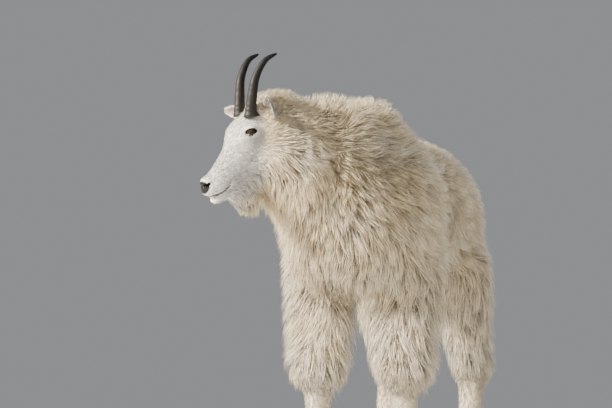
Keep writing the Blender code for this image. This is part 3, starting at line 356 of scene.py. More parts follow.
# The head's level direction ahead, and its own forward, left and up as the rows of a matrix
UPRIGHT = np.array((0.0, 0.0, 1.0))
LEVEL_AHEAD = np.array((-math.sin(HEAD_TURN), -math.cos(HEAD_TURN), 0.0))
HEAD_FORWARD = LEVEL_AHEAD * math.cos(HEAD_PITCH) - UPRIGHT * math.sin(HEAD_PITCH)
HEAD_UP = LEVEL_AHEAD * math.sin(HEAD_PITCH) + UPRIGHT * math.cos(HEAD_PITCH)
HEAD_AXES = np.array((HEAD_FORWARD, np.cross(HEAD_UP, HEAD_FORWARD), HEAD_UP))


def to_head(points):
    """Points of the goat's frame in the head's own forward, left and up."""
    return (points - POLL) @ HEAD_AXES.T


def from_head(points):
    """Points of the head's own frame in the goat's frame."""
    return np.asarray(points) @ HEAD_AXES + POLL


# The head's own part ends at a cut behind the poll and at an upright cut behind the jaw
HEAD_CUTS = (
    (from_head((-0.012, 0.0, 0.0)), np.array((1.0, 0.0, 0.22)) @ HEAD_AXES),
    (from_head((0.044, 0.0, -0.092)), LEVEL_AHEAD),
)
BEARD_PLACE = from_head((0.216, 0.0, -0.090))
LOWEST_EYE, HIGHEST_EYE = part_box("eye_left")
MIDDLE = from_head(EYE_PLACE) - 0.5 * (np.array(LOWEST_EYE) + np.array(HIGHEST_EYE))
MIDDLE[2] = 0.0


def head_side(points, margin):
    """Positive for points outside the head's own part, grown by a margin."""
    past = [(place - points) @ (normal / np.linalg.norm(normal)) - margin for place, normal in HEAD_CUTS]
    return np.maximum(*past)


def unit(vectors):
    """The same directions at length one."""
    return vectors / np.maximum(np.linalg.norm(vectors, axis=-1, keepdims=True), TINY)


def folded(points, across):
    """The points moved to the positive side of one axis."""
    near = np.array(points)
    near[:, across] = np.abs(near[:, across])
    return near


def ellipsoid(points, centre, radii):
    """Distance to an ellipsoid, nearly true close to its surface."""
    offset = points - np.array(centre)
    radii = np.array(radii)
    near = np.linalg.norm(offset / radii, axis=1)
    slope = np.linalg.norm(offset / radii**2, axis=1)
    return near * (near - 1.0) / np.maximum(slope, TINY)


def rod(points, start, end, start_radius, end_radius):
    """Distance to a round rod whose radius changes evenly from start to end."""
    start, end = np.array(start), np.array(end)
    along = end - start
    share = np.clip((points - start) @ along / (along @ along), 0.0, 1.0)
    offset = points - start - share[:, None] * along
    return np.linalg.norm(offset, axis=1) - start_radius - (end_radius - start_radius) * share


def blend(first, second, width):
    """The union of two fields, filleted over about this width."""
    share = np.clip(0.5 + 0.5 * (second - first) / width, 0.0, 1.0)
    return second + (first - second) * share - width * share * (1.0 - share)


def carve(field, cutter, width):
    """The field with the cutter taken out, its rim rounded over about this width."""
    return -blend(-field, cutter, width)


def leg_joints(leg):
    """A leg's joints from the top down as centre and radius pairs."""
    x = leg["side"] * LEG_SPREAD
    y = leg["foot_y"]
    if leg["front"]:
        elbow = ((x * 1.04, FRONT_FEET_Y + 0.050, 0.565), 0.052)
        knee = ((x * 1.03, 0.5 * (y + FRONT_FEET_Y) + 0.005, 0.300), 0.030)
        fetlock = ((x, y, 0.088), 0.0235)
        return (elbow, knee, fetlock, ((x, y - 0.026, 0.044), 0.0245))
    stifle = ((x * 0.94, HIND_FEET_Y - 0.020, 0.545), 0.055)
    hock = ((x * 0.97, 0.5 * (y + HIND_FEET_Y) + 0.075, 0.300), 0.029)
    fetlock = ((x, y + 0.028, 0.088), 0.0235)
    return (stifle, hock, fetlock, ((x, y, 0.044), 0.0245))


def legs_field(points):
    """The flesh of the legs below the trunk."""
    field = np.full(len(points), 1.0)
    for leg in LEGS.values():
        joints = leg_joints(leg)
        for (upper, upper_radius), (lower, lower_radius) in zip(joints, joints[1:]):
            field = blend(field, rod(points, upper, lower, upper_radius, lower_radius), 0.022)
        middle, _ = joints[1]
        if leg["front"]:
            joint_bump = ellipsoid(points, np.array(middle) + (0, -0.006, 0), (0.031, 0.032, 0.045))
        else:
            joint_bump = ellipsoid(points, np.array(middle) + (0, 0.020, 0.020), (0.019, 0.022, 0.040))
        field = blend(field, joint_bump, 0.015)
        ankle, _ = joints[2]
        field = blend(field, ellipsoid(points, ankle, (0.027, 0.028, 0.030)), 0.012)
    return field


def trunk_field(points):
    """The flesh of the trunk, with the shoulders and haunches."""
    side = folded(points, 0)
    field = ellipsoid(points, (0.0, -0.09, TRUNK_MIDDLE), (0.134, 0.31, 0.145))
    forms = (
        ((0.0, -0.32, TRUNK_MIDDLE - 0.01), (0.134, 0.148, 0.135), 0.06),
        ((0.0, -0.25, HUMP_TOP - 0.11), (0.034, 0.165, 0.110), 0.06),
        ((0.0, 0.08, TRUNK_MIDDLE), (0.122, 0.220, 0.120), 0.06),
        ((0.0, 0.12, TRUNK_MIDDLE + 0.048), (0.052, 0.240, 0.078), 0.05),
        ((0.0, 0.24, TRUNK_MIDDLE - 0.005), (0.076, 0.135, 0.122), 0.05),
    )
    for centre, radii, fillet in forms:
        field = blend(field, ellipsoid(points, centre, radii), fillet)
    shoulder = ellipsoid(side, (0.095, -0.265, 0.665), (0.048, 0.090, 0.150))
    haunch = ellipsoid(side, (0.066, 0.235, 0.600), (0.050, 0.105, 0.145))
    return blend(blend(field, shoulder, 0.05), haunch, 0.05)


def neck_field(points):
    """The flesh of the neck, from the withers to the turned head."""
    crest = rod(points, (0.0, -0.27, 0.845), (-0.050, -0.41, 0.866), 0.056, 0.050)
    crest = blend(crest, rod(points, (-0.050, -0.41, 0.866), (-0.115, -0.530, 0.862), 0.050, 0.034), 0.02)
    middle = rod(points, (0.0, -0.32, 0.765), (-0.125, -0.545, 0.855), 0.095, 0.052)
    throat = rod(points, (0.0, -0.37, 0.700), (-0.140, -0.565, 0.825), 0.095, 0.048)
    return blend(blend(crest, middle, 0.05), throat, 0.05)


def skull_field(local):
    """The flesh of the head in its own frame, made of ellipsoids and, where a form has two radii, rods."""
    side = folded(local, 1)
    field = ellipsoid(local, (0.046, 0.0, -0.008), (0.068, 0.045, 0.050))
    forms = (
        ((0.100, 0.0, -0.001), (0.060, 0.040, 0.045), 0.020),
        ((0.106, 0.027, 0.015), (0.031, 0.018, 0.021), 0.016),
        ((0.130, 0.0, -0.013), (0.254, 0.0, -0.017), 0.038, 0.023, 0.026),
        ((0.050, 0.0, -0.060), (0.244, 0.0, -0.048), 0.036, 0.016, 0.030),
        ((0.066, 0.030, -0.044), (0.050, 0.024, 0.046), 0.020),
        ((0.247, 0.0, -0.021), (0.035, 0.0285, 0.025), 0.012),
        ((0.267, 0.0, -0.001), (0.0135, 0.0190, 0.0145), 0.008),
        ((0.272, 0.0, -0.015), (0.0170, 0.0200, 0.0150), 0.008),
        ((0.261, 0.0, -0.045), (0.0260, 0.0185, 0.0125), 0.007),
        (tuple(EYE_PLACE), (0.0205, 0.0185, 0.0175), 0.006),
    )
    for *form, fillet in forms:
        shape = rod if len(form) == 4 else ellipsoid
        field = blend(field, shape(side, *form), fillet)
    return field


def beard_field(points):
    """The thick of the beard, which hangs under the jaw."""
    hanging = np.array((LEVEL_AHEAD, HEAD_AXES[1], (0.0, 0.0, 1.0)))
    return ellipsoid((points - BEARD_PLACE) @ hanging.T, (0.0, 0.0, 0.0), BEARD_SIZE)


def flesh(points):
    """The whole goat's flesh without its coat."""
    body = blend(trunk_field(points), legs_field(points), 0.030)
    body = blend(body, neck_field(points), 0.070)
    body = blend(body, rod(points, TAIL_ROOT, TAIL_TIP, 0.022, 0.014), 0.012)
    local = to_head(points)
    return blend(blend(body, skull_field(local), 0.030), beard_field(points), 0.018)


def coat_at(points):
    """Depth off the flesh, lie, and the strands' length, wave and wisp spacing at these points."""
    local = to_head(points)
    weight_sum = np.full(len(points), TINY)
    blended = np.zeros((len(points), 4))
    lie = np.zeros((len(points), 3))
    for table, own, across in ((COAT, points, 0), (NECK_COAT, points, None), (HEAD_COAT, local, 1)):
        near = own if across is None else folded(own, across)
        for place, reach, place_lie, *looks in table.values():
            weight = puff(near, place, reach)
            direction = np.tile(np.array(place_lie) / np.linalg.norm(place_lie), (len(points), 1))
            if across is not None:
                direction[:, across] *= np.sign(own[:, across])
            if table is HEAD_COAT:
                direction = direction @ HEAD_AXES
            weight_sum += weight
            blended += weight[:, None] * np.array(looks)
            lie += weight[:, None] * direction
    depth, length, wave, spacing = (blended / weight_sum[:, None]).T
    return depth, unit(lie), length, wave, spacing


def skin(points):
    """The skin, which lies under the outer part of the coat, with the head's openings."""
    depth = coat_at(points)[0]
    return head_openings(to_head(points), flesh(points) - SKIN_SHARE * depth)


def nostril_field(side):
    """The hollow of a nostril."""
    return rod(side, *NOSTRIL)


def mouth_field(side, radius):
    """A round groove of this radius along the line of the mouth."""
    return np.minimum.reduce([rod(side, *ends, radius, radius) for ends in zip(MOUTH_LINE, MOUTH_LINE[1:])])


def slit_field(side):
    """The almond between the lids, as the overlap of two ellipsoids, with its front corner lower."""
    offset = side - EYE_PLACE - SLIT_OUT
    along = np.array((math.cos(SLIT_TILT), 0.0, math.sin(SLIT_TILT)))
    turned = np.stack((offset @ along, offset[:, 1], offset @ np.cross(along, (0.0, 1.0, 0.0))), 1)
    upper = ellipsoid(turned, (0.0, 0.0, SLIT_SHIFT), SLIT_RADII)
    lower = ellipsoid(turned, (0.0, 0.0, -SLIT_SHIFT), SLIT_RADII)
    return np.maximum(upper, lower)


def head_openings(local, field):
    """The head's field with the nostrils, the line of the mouth and the slits between the lids cut in."""
    side = folded(local, 1)
    field = carve(field, nostril_field(side), OPENING_RIM)
    field = carve(field, mouth_field(side, MOUTH_RADIUS), OPENING_RIM)
    field = carve(field, rod(side, *PHILTRUM, PHILTRUM_RADIUS, PHILTRUM_RADIUS), OPENING_RIM)
    return carve(field, slit_field(side), OPENING_RIM)


def slope(field, points):
    """Outward unit normals of a field."""
    corners = np.array(((1, -1, -1), (-1, -1, 1), (-1, 1, -1), (1, 1, 1)), float)
    rise = sum(corner * field(points + corner * SLOPE_STEP)[:, None] for corner in corners)
    return unit(rise)


def marching_tetrahedra(field, low, high, cell):
    """Vertices and triangles of the surface where a field is zero, with nothing beyond the bounds.

    The field is first read on a coarse grid, and then on the fine one only near its surface.
    """
    axes = [np.arange(a, b + cell, cell) for a, b in zip(low, high)]
    coarse = [axis[::COARSE_STEP] for axis in axes]
    rough = field(np.stack(np.meshgrid(*coarse, indexing="ij"), -1).reshape(-1, 3))
    rough = rough.reshape([len(axis) for axis in coarse])
    nearest = []
    for axis, coarse_axis in zip(axes, coarse):
        near = (np.arange(len(axis)) + COARSE_STEP // 2) // COARSE_STEP
        nearest.append(np.minimum(near, len(coarse_axis) - 1))
    value = rough[np.ix_(*nearest)].copy()
    grid = np.stack(np.meshgrid(*axes, indexing="ij"), -1)
    close = np.abs(value) < REFINED_CELLS * cell
    value[close] = field(grid[close])
    shape = value.shape
    walled = np.full(shape, cell)
    walled[1:-1, 1:-1, 1:-1] = value[1:-1, 1:-1, 1:-1]
    value = walled.reshape(-1)
    value = np.where(np.abs(value) < OFF_ZERO, OFF_ZERO, value)
    points = grid.reshape(-1, 3)
    number = np.arange(len(points)).reshape(shape)
    cube = number[:-1, :-1, :-1].reshape(-1)
    steps = np.array((number[1, 0, 0], number[0, 1, 0], number[0, 0, 1]))
    offsets = [0, steps[0], steps[1], steps[0] + steps[1]]
    offsets += [offset + steps[2] for offset in offsets]
    inside = value < 0.0
    filled = sum(inside[cube + offset].astype(int) for offset in offsets)
    cube = cube[(filled > 0) & (filled < 8)]
    edges = []
    for first, second, third in itertools.permutations(steps):
        corners = np.stack((cube, cube + first, cube + first + second, cube + first + second + third), 1)
        deep = inside[corners]
        order = np.argsort(~deep, axis=1, kind="stable")
        corners = np.take_along_axis(corners, order, 1)
        count = deep.sum(1)
        for number_inside, triangles in TETRAHEDRON_CUTS.items():
            chosen = corners[count == number_inside]
            for triangle in triangles:
                edges.append(np.stack([chosen[:, list(edge)] for edge in triangle], 1))
    edges = np.sort(np.concatenate(edges), axis=2)
    unique, corner = np.unique(edges.reshape(-1, 2), axis=0, return_inverse=True)
    near, far = value[unique[:, 0]], value[unique[:, 1]]
    share = np.clip(near / (near - far), OFF_CORNER, 1.0 - OFF_CORNER)[:, None]
    vertices = points[unique[:, 0]] * (1.0 - share) + points[unique[:, 1]] * share
    return vertices, corner.reshape(-1, 3)


def face_outward(vertices, triangles, normals):
    """The triangles, each turned to face the way its vertices' normals do."""
    a, b, c = (vertices[triangles[:, k]] for k in range(3))
    faces_in = np.sum(np.cross(b - a, c - a) * normals[triangles].sum(1), axis=1) < 0.0
    triangles = triangles.copy()
    triangles[faces_in] = triangles[faces_in][:, ::-1]
    return triangles


def linked(name, data):
    """A new object in the scene."""
    made = bpy.data.objects.new(name, data)
    bpy.context.scene.collection.objects.link(made)
    return made


def mesh_object(name, vertices, faces, finish, normals=None):
    """A smooth mesh piece made of points of the goat's own frame, which rides on the goat."""
    mesh = bpy.data.meshes.new(name)
    placed = np.asarray(vertices, float) - MIDDLE
    faces = np.asarray(faces, int)
    sides = faces.shape[1]
    mesh.vertices.add(len(placed))
    mesh.vertices.foreach_set("co", placed.astype(np.float32).ravel())
    mesh.loops.add(faces.size)
    mesh.loops.foreach_set("vertex_index", faces.astype(np.int32).ravel())
    mesh.polygons.add(len(faces))
    mesh.polygons.foreach_set("loop_start", np.arange(0, faces.size, sides, dtype=np.int32))
    mesh.update(calc_edges=True)
    mesh.materials.append(finish)
    mesh.shade_smooth()
    if normals is not None:
        mesh.normals_split_custom_set_from_vertices(normals.tolist())
    piece = linked(name, mesh)
    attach(piece, "root")
    return piece


def thinned(vertices, faces, triangles):
    """The same surface in about this many triangles, more of them where it bends most."""
    mesh = bpy.data.meshes.new("thin")
    mesh.from_pydata(vertices.tolist(), [], faces.tolist())
    whole = linked("thin", mesh)
    modifier = whole.modifiers.new("thin", "DECIMATE")
    modifier.ratio = min(1.0, triangles / len(faces))
    bpy.context.view_layer.update()
    graph = bpy.context.evaluated_depsgraph_get()
    made = bpy.data.meshes.new_from_object(whole.evaluated_get(graph))
    made.calc_loop_triangles()
    vertices = np.empty(3 * len(made.vertices))
    made.vertices.foreach_get("co", vertices)
    faces = np.empty(3 * len(made.loop_triangles), np.int32)
    made.loop_triangles.foreach_get("vertices", faces)
    bpy.data.objects.remove(whole)
    bpy.data.meshes.remove(mesh)
    bpy.data.meshes.remove(made)
    return vertices.reshape(-1, 3), faces.reshape(-1, 3)


def colour_attribute(mesh, name, values):
    """Stores four numbers for each vertex."""
    layer = mesh.attributes.new(name, "FLOAT_COLOR", "POINT")
    layer.data.foreach_set("color", np.asarray(values, np.float32).ravel())


def smooth_step(low, high, values):
    """0 below low, 1 above high and a smooth rise between."""
    share = np.clip((values - low) / (high - low), 0.0, 1.0)
    return share * share * (3.0 - 2.0 * share)


def puff(points, centre, reach):
    """A soft round spot, 1 at its centre."""
    return np.exp(-np.sum((points - np.array(centre)) ** 2, axis=1) / (2.0 * reach**2))


def soiled_hair(points):
    """How soiled the hair is at these points, from 0 to 1."""
    soiled = np.zeros(len(points))
    for centre, reach, strength in SOILED:
        spot = np.sum(((points - np.array(centre)) / np.array(reach)) ** 2, axis=1)
        soiled = np.maximum(soiled, strength * np.exp(-0.5 * spot))
    return soiled


def markings(points):
    """How cream, soiled, dark and grey the hair or skin is at these points, each from 0 to 1; the dark holds
    dark skin and a painted shadow behind each ear.
    """
    local = to_head(points)
    side = folded(local, 1)
    face = smooth_step(0.040, 0.080, (points - POLL) @ LEVEL_AHEAD)
    face = face * smooth_step(-0.11, -0.07, local[:, 2])
    low_legs = 1.0 - smooth_step(0.10, 0.34, points[:, 2])
    cream = (1.0 - 0.85 * face) * (0.75 + 0.25 * smooth_step(0.35, 0.70, points[:, 2]))
    cream = np.maximum(cream, 0.9 * low_legs)
    nose = 1.0 - smooth_step(-0.0015, 0.0015, ellipsoid(side, *NOSE_PAD))
    mouth = 1.0 - smooth_step(0.0028, 0.0050, mouth_field(side, 0.0))
    lids = 1.0 - smooth_step(0.0006, 0.0034, slit_field(side))
    tear = puff(side, EYE_PLACE + (0.017, 0.013, -0.008), 0.0030)
    # A painted shadow behind each ear: the hollow between the ear's back and the neck's hair is darkened
    # through the dark mark, which also leaves its middle bare of strands.
    ear_back_painted_shadow = puff(side, (0.022, 0.050, 0.004), 0.011)
    dark = np.maximum.reduce((nose, 0.85 * mouth, lids, 0.7 * tear, 0.55 * ear_back_painted_shadow))
    bridge = puff(side, (0.215, 0.0, 0.002), 0.035)
    cheek = puff(side, (0.130, 0.030, -0.010), 0.030)
    grey = face * (0.55 * bridge + 0.35 * cheek)
    return np.stack((cream, soiled_hair(points), dark, grey), 1)


def head_skin(points):
    """The skin of the head, as far as it laps into the neck's coat."""
    return np.maximum(skin(points), head_side(points, HEAD_LAP))


def body_skin(points):
    """The skin behind the head, as far as it laps into the head."""
    return np.maximum(skin(points), -head_side(points, -HEAD_LAP))


def leg_skin(points):
    """The skin of the legs up to the trunk."""
    return np.maximum(body_skin(points), points[:, 2] - LEG_TOP)


def make_skin(finish):
    """One skin for the whole goat, of a fine mesh of the head and coarser ones of the rest."""
    corners = from_head([(a, b, c) for a in (-0.06, 0.30) for b in (-0.10, 0.10) for c in (-0.17, 0.09)])
    parts = (
        (head_skin, corners.min(0), corners.max(0), HEAD_CELL),
        (body_skin, (-0.32, -0.72, 0.30), (0.32, 0.56, 1.04), BODY_CELL),
        (leg_skin, (-0.22, -0.42, 0.012), (0.22, 0.42, 0.36), LEG_CELL),
    )
    vertices, faces, count = [], [], 0
    for field, low, high, cell in parts:
        found, triangles = marching_tetrahedra(field, low, high, cell)
        vertices.append(found)
        faces.append(triangles + count)
        count += len(found)
    vertices, faces = thinned(np.concatenate(vertices), np.concatenate(faces), SKIN_TRIANGLES)
    normals = slope(skin, vertices)
    faces = face_outward(vertices, faces, normals)
    piece = mesh_object("skin", vertices, faces, finish, normals)
    colour_attribute(piece.data, "marks", markings(vertices))
    return piece, vertices, faces


def grow_paths(roots, lengths, lies, heights, steps):
    """Rows of points that run out over the skin along the lie, each strand rising to its own height."""
    normals = slope(skin, roots)
    place = roots - normals * ROOT_SUNK
    rows, outward = [place], [normals]
    for i in range(steps):
        share = (i + 1) / steps
        into = np.minimum(np.sum(lies * normals, axis=1), 0.0)
        along = unit(lies - into[:, None] * normals)
        place = place + along * (lengths / steps)[:, None]
        target = heights * share**RISE_POWER
        off = skin(place)
        shift = np.maximum(target - off, 0.0) - np.maximum(off - STRAY_SHARE * target - STRAY, 0.0)
        normals = slope(skin, place)
        place = place + normals * shift[:, None]
        rows.append(place)
        outward.append(normals)
    return np.stack(rows, 1), np.stack(outward, 1)


def sample_surface(vertices, faces, density, random):
    """Random points on the triangles, this many to the square metre as read at each triangle's middle."""
    corner = vertices[faces]
    area = 0.5 * np.linalg.norm(np.cross(corner[:, 1] - corner[:, 0], corner[:, 2] - corner[:, 0]), axis=1)
    wanted = area * density(corner.mean(1))
    count = random.poisson(wanted)
    chosen = np.repeat(np.arange(len(faces)), count)
    share = np.sort(random.random((len(chosen), 2)), axis=1)
    weights = np.stack((share[:, 0], share[:, 1] - share[:, 0], 1.0 - share[:, 1]), -1)
    return np.einsum("nk,nkd->nd", weights, corner[chosen])


def strand_width(length):
    """How broad a strand of this length is."""
    return STRAND_WIDTH + WIDTH_FOR_LENGTH * length


def strand_density(points):
    """Strands to the square metre that cover the skin in enough layers, and none where it is bare."""
    _, _, length, _, _ = coat_at(points)
    layers = LAYERS_SHORT + (LAYERS_LONG - LAYERS_SHORT) * smooth_step(*SHORT_TO_LONG, length)
    bare = markings(points)[:, 2] > BARE_FROM
    lowest = points[:, 2] < HOOF_TOP + 0.012
    return np.where(bare | lowest, 0.0, layers / (COVER * strand_width(length) * length))


def wisp_centres(roots, spacing, random):
    """Which root leads the wisp of each root."""
    order = random.permutation(len(roots))
    tree = kdtree.KDTree(len(roots))
    for i, root in enumerate(roots):
        tree.insert(root, i)
    tree.balance()
    leader = np.full(len(roots), -1)
    for i in order:
        if leader[i] >= 0:
            continue
        for _, j, _ in tree.find_range(roots[i], spacing[i]):
            if leader[j] < 0:
                leader[j] = i
    return leader


def wander(points, seed, scale):
    """A smooth random direction field, about one unit long and a few scales across."""
    random = np.random.default_rng(seed)
    total = np.zeros((len(points), 3))
    for _ in range(6):
        wave = random.normal(0.0, 1.0 / scale, 3)
        swing = np.sin(points @ wave + random.uniform(0.0, 2.0 * math.pi))
        total += swing[:, None] * random.normal(0.0, 0.5, 3)
    return total


def strand_mesh(paths, outward, widths):
    """Vertices and triangles of flat, tapered strands with a low ridge, one for each path."""
    count, rows = paths.shape[0], paths.shape[1]
    rings = rows - 1
    ahead = unit(np.concatenate((paths[:, 1:2] - paths[:, :1], paths[:, 2:] - paths[:, :-2]), 1))
    across = unit(np.cross(ahead, outward[:, :rings]))
    up = np.cross(across, ahead)
    share = np.arange(rings) / rings
    half = 0.5 * widths[:, None] * (1.0 - TAPER * share**TAPER_POWER)[None, :]
    centre = paths[:, :rings]
    left = centre - across * half[:, :, None]
    right = centre + across * half[:, :, None]
    ridge = centre + up * (half * 2.0 * RIDGE)[:, :, None]
    body = np.stack((left, ridge, right), 2).reshape(count, rings * 3, 3)
    vertices = np.concatenate((body, paths[:, -1:]), 1)
    faces = []
    for i in range(rings - 1):
        for k in range(3):
            a, b = 3 * i + k, 3 * i + (k + 1) % 3
            faces += [(a, b, b + 3), (a, b + 3, a + 3)]
    base, tip = 3 * (rings - 1), 3 * rings
    faces += [(base + k, base + (k + 1) % 3, tip) for k in range(3)]
    faces.append((2, 1, 0))
    faces = np.array(faces)[None] + (np.arange(count) * vertices.shape[1])[:, None, None]
    along = np.concatenate((np.repeat(share, 3), (1.0,)))
    side = np.concatenate((np.tile((-0.5, 0.0, 0.5), rings), (0.0,)))
    return vertices, faces.reshape(-1, 3), along, side


def unwrap(points, axis, zero):
    """The skin round an axis laid flat: the angle about it and the way along it, each filling 0 to 1."""
    axis = np.array(axis, float) / np.linalg.norm(axis)
    zero = np.array(zero, float) - axis * (np.array(zero) @ axis)
    zero /= np.linalg.norm(zero)
    middle = 0.5 * (points.min(0) + points.max(0))
    offset = points - middle
    angle = np.arctan2(offset @ np.cross(axis, zero), offset @ zero)
    flat = np.stack((angle, offset @ axis), 1)
    spread = np.maximum(flat.max(0) - flat.min(0), TINY)
    return 0.01 + 0.98 * (flat - flat.min(0)) / spread


def coat_piece(name, roots, paths, outward, widths, marks, tones, axes, finish):
    """One piece of the coat, with each strand's own tone and its patch of the unwrapped skin."""
    vertices, faces, along, side = strand_mesh(paths, outward, widths)
    count, size = vertices.shape[:2]
    mesh = mesh_object(name, vertices.reshape(-1, 3), faces, finish).data
    colour_attribute(mesh, "marks", np.repeat(marks, size, axis=0))
    strand = np.zeros((count, size, 4))
    strand[:, :, 0] = tones[:, None]
    strand[:, :, 1] = along[None, :]
    colour_attribute(mesh, "strand", strand.reshape(-1, 4))
    patch = unwrap(roots, *axes)[:, None, :] + BAKE_PATCH * np.stack((side, along - 0.5), 1)[None]
    layer = mesh.uv_layers.new(name="OFBake")
    layer.data.foreach_set("uv", patch.reshape(-1, 2)[faces.ravel()].astype(np.float32).ravel())


def zone_of(points):
    """The coat piece that each root belongs to, by name."""
    local = to_head(points)
    zones = np.full(len(points), "coat_trunk_middle", dtype=object)
    zones[points[:, 1] < SHOULDER_Y] = "coat_shoulder"
    zones[points[:, 1] > RUMP_Y] = "coat_rump"
    low = points[:, 2] < LEG_COAT_TOP
    zones[low] = np.where(points[low, 1] < 0.0, "coat_foreleg", "coat_hindleg")
    zones[(points[:, 1] < CHEST_Y) & ~low] = "coat_chest"
    neck = (points - NECK_PLACE) @ NECK_AHEAD > 0.0
    zones[neck & ~low] = "coat_neck"
    zones = zones + np.where(points[:, 0] > 0.0, "_left", "_right")
    head = (local[:, 0] > 0.0) & (local[:, 2] > HEAD_LOW)
    zones[head] = np.where(local[head, 0] > MUZZLE_FROM, "coat_muzzle", "coat_head")
    return zones


def unwrap_axes(zone):
    """The axis that a piece of the coat is unwrapped about, and where its angle starts."""
    if zone in ("coat_muzzle", "coat_head"):
        return HEAD_AXES[0], HEAD_AXES[2]
    return ((0, 0, 1), (0, 1, 0)) if "leg" in zone else ((0, 1, 0), (0, 0, 1))


def flow(roots, lie, wave, random):
    """The strands' own directions: their lie, bent by slow drifts and roughened."""
    drift = sum(share * wander(roots, seed, scale) for seed, scale, share in DRIFTS)
    lie = lie + wave[:, None] * (DRIFT_SHARE * drift + FRIZZ * random.normal(0.0, 1.0, lie.shape))
    return unit(lie + UNRULY * random.normal(0.0, 1.0, lie.shape))


def grow_coat(vertices, faces, finish):
    """Grows the whole coat on the skin and parts it into pieces."""
    random = np.random.default_rng(COAT_SEED)
    roots = sample_surface(vertices, faces, strand_density, random)
    count = len(roots)
    depth, lie, length, wave, spacing = coat_at(roots)
    leader = wisp_centres(roots, spacing * random.uniform(*SPACING_RANGE, count), random)
    leads = leader == np.arange(count)
    lie = flow(roots, lie, wave, random)
    full = (1.0 - SKIN_SHARE) * depth
    lid = slit_field(folded(to_head(roots), 1))
    length = length * np.clip(lid / LID_CLEAR, 0.2, 1.0)
    layer = np.where(leads, 1.0, random.uniform(*LAYER_RANGE, count))
    lengths = length * np.where(leads, LEADER_LENGTH, random.uniform(*LENGTH_RANGE, count))
    own_tone, wisp_tone = random.normal(0.0, 1.0, count), random.normal(0.0, 1.0, count)[leader]
    tones = np.clip(0.5 + OWN_TONE * own_tone + WISP_TONE * wisp_tone, 0.0, 1.0)
    marks = markings(roots)
    zones = zone_of(roots)
    for kind, steps, chosen in (("long", 3, length > LONG_STRAND), ("short", 2, length <= LONG_STRAND)):
        chosen = np.flatnonzero(chosen)
        paths = np.empty((len(chosen), steps + 1, 3))
        outward = np.empty_like(paths)
        for start in range(0, len(chosen), PATHS_AT_ONCE):
            part = slice(start, start + PATHS_AT_ONCE)
            rows = chosen[part]
            heights = (full * layer)[rows]
            paths[part], outward[part] = grow_paths(roots[rows], lengths[rows], lie[rows], heights, steps)
        place_of = np.full(count, -1)
        place_of[chosen] = np.arange(len(chosen))
        lead = place_of[leader[chosen]]
        pull = WISP_PULL * random.uniform(*PULL_RANGE, len(chosen)) * (lead >= 0)
        rise = (np.arange(steps + 1) / steps) ** PULL_POWER
        paths += (pull[:, None] * rise[None, :])[:, :, None] * (paths[lead] - paths)
        widths = strand_width(length[chosen]) * random.uniform(*WIDTH_RANGE, len(chosen))
        marks[chosen, 1] = soiled_hair(paths[:, -2])
        for zone in sorted(set(zones[chosen])):
            own = np.flatnonzero(zones[chosen] == zone)
            parts = math.ceil(len(own) / (MOST_TRIANGLES // (6 * steps - 2)))
            order = own[np.argsort(roots[chosen[own], 1], kind="stable")]
            for k, share in enumerate(np.array_split(order, parts)):
                rows = chosen[share]
                grown = (roots[rows], paths[share], outward[share], widths[share], marks[rows], tones[rows])
                coat_piece(f"{zone}_{kind}_{k + 1}", *grown, unwrap_axes(zone), finish)


def around(count):
    """Angles spread evenly round a ring."""
    return 2.0 * math.pi * np.arange(count) / count


def horn_radius(share):
    """How thick a horn is this far along: a stout root, then a slow taper to the point."""
    flare = HORN_FLARE * math.exp(-share / HORN_FLARE_REACH)
    return HORN_RADIUS * (HORN_BODY * (1.0 - share) ** 0.5 + flare) + HORN_TIP


def smooth_line(points, count):
    """Points evenly spread along a smooth curve through the given ones."""
    points = np.array(points, float)
    padded = np.vstack((2 * points[0] - points[1], points, 2 * points[-1] - points[-2]))
    places = np.linspace(0.0, len(points) - 1.0001, count)
    made = []
    for place in places:
        i, t = int(place), place - int(place)
        a, b, c, d = padded[i : i + 4]
        bend = (2 * a - 5 * b + 4 * c - d) * t**2 + (3 * b - a - 3 * c + d) * t**3
        made.append(0.5 * (2 * b + (c - a) * t + bend))
    return np.array(made)


def make_horn(name, side, finish):
    """A horn that sweeps up and back to a point, ringed on its lower half and finely grooved along."""
    line = smooth_line([(ahead, side * left, up) for ahead, left, up in HORN_LINE], HORN_ROWS)
    angle = around(HORN_SIDES)
    rows = []
    for i, centre in enumerate(line):
        share = i / (len(line) - 1)
        along = line[min(i + 1, len(line) - 1)] - line[max(i - 1, 0)]
        across = unit(np.cross(along, (0.0, 1.0, 0.0)))
        other = np.cross(unit(along), across)
        fade = max(0.0, 1.0 - share / HORN_RINGS_END)
        ring = HORN_RING * fade * (0.5 + 0.5 * math.sin(share * 84.0 + 1.2 * math.sin(share * 31.0))) ** 2
        groove = HORN_GROOVE * np.sin(HORN_GROOVES * angle + 5.0 * share) * (1.0 - share)
        radius = horn_radius(share) * (0.965 + ring + groove)
        circle = HORN_OVAL * np.cos(angle)[:, None] * across + np.sin(angle)[:, None] * other
        rows.append(centre + radius[:, None] * circle)
    vertices, faces = lofted(rows)
    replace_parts(mesh_object(name + "_shell", from_head(vertices), faces, finish), name)


def lofted(rows):
    """A closed tube of triangles through rows of points, with a fan over each end."""
    sides, last = len(rows[0]), len(rows) - 1
    vertices = np.concatenate(rows + [rows[0].mean(0)[None], rows[-1].mean(0)[None]])
    k = np.arange(sides)
    after = (k + 1) % sides
    faces = []
    for i in range(last):
        a, b = i * sides + k, i * sides + after
        faces += [np.stack((a, b, b + sides), 1), np.stack((a, b + sides, a + sides), 1)]
    start, end = len(vertices) - 2, len(vertices) - 1
    faces.append(np.stack((after, k, np.full(sides, start)), 1))
    faces.append(np.stack((last * sides + k, last * sides + after, np.full(sides, end)), 1))
    return vertices, np.concatenate(faces)


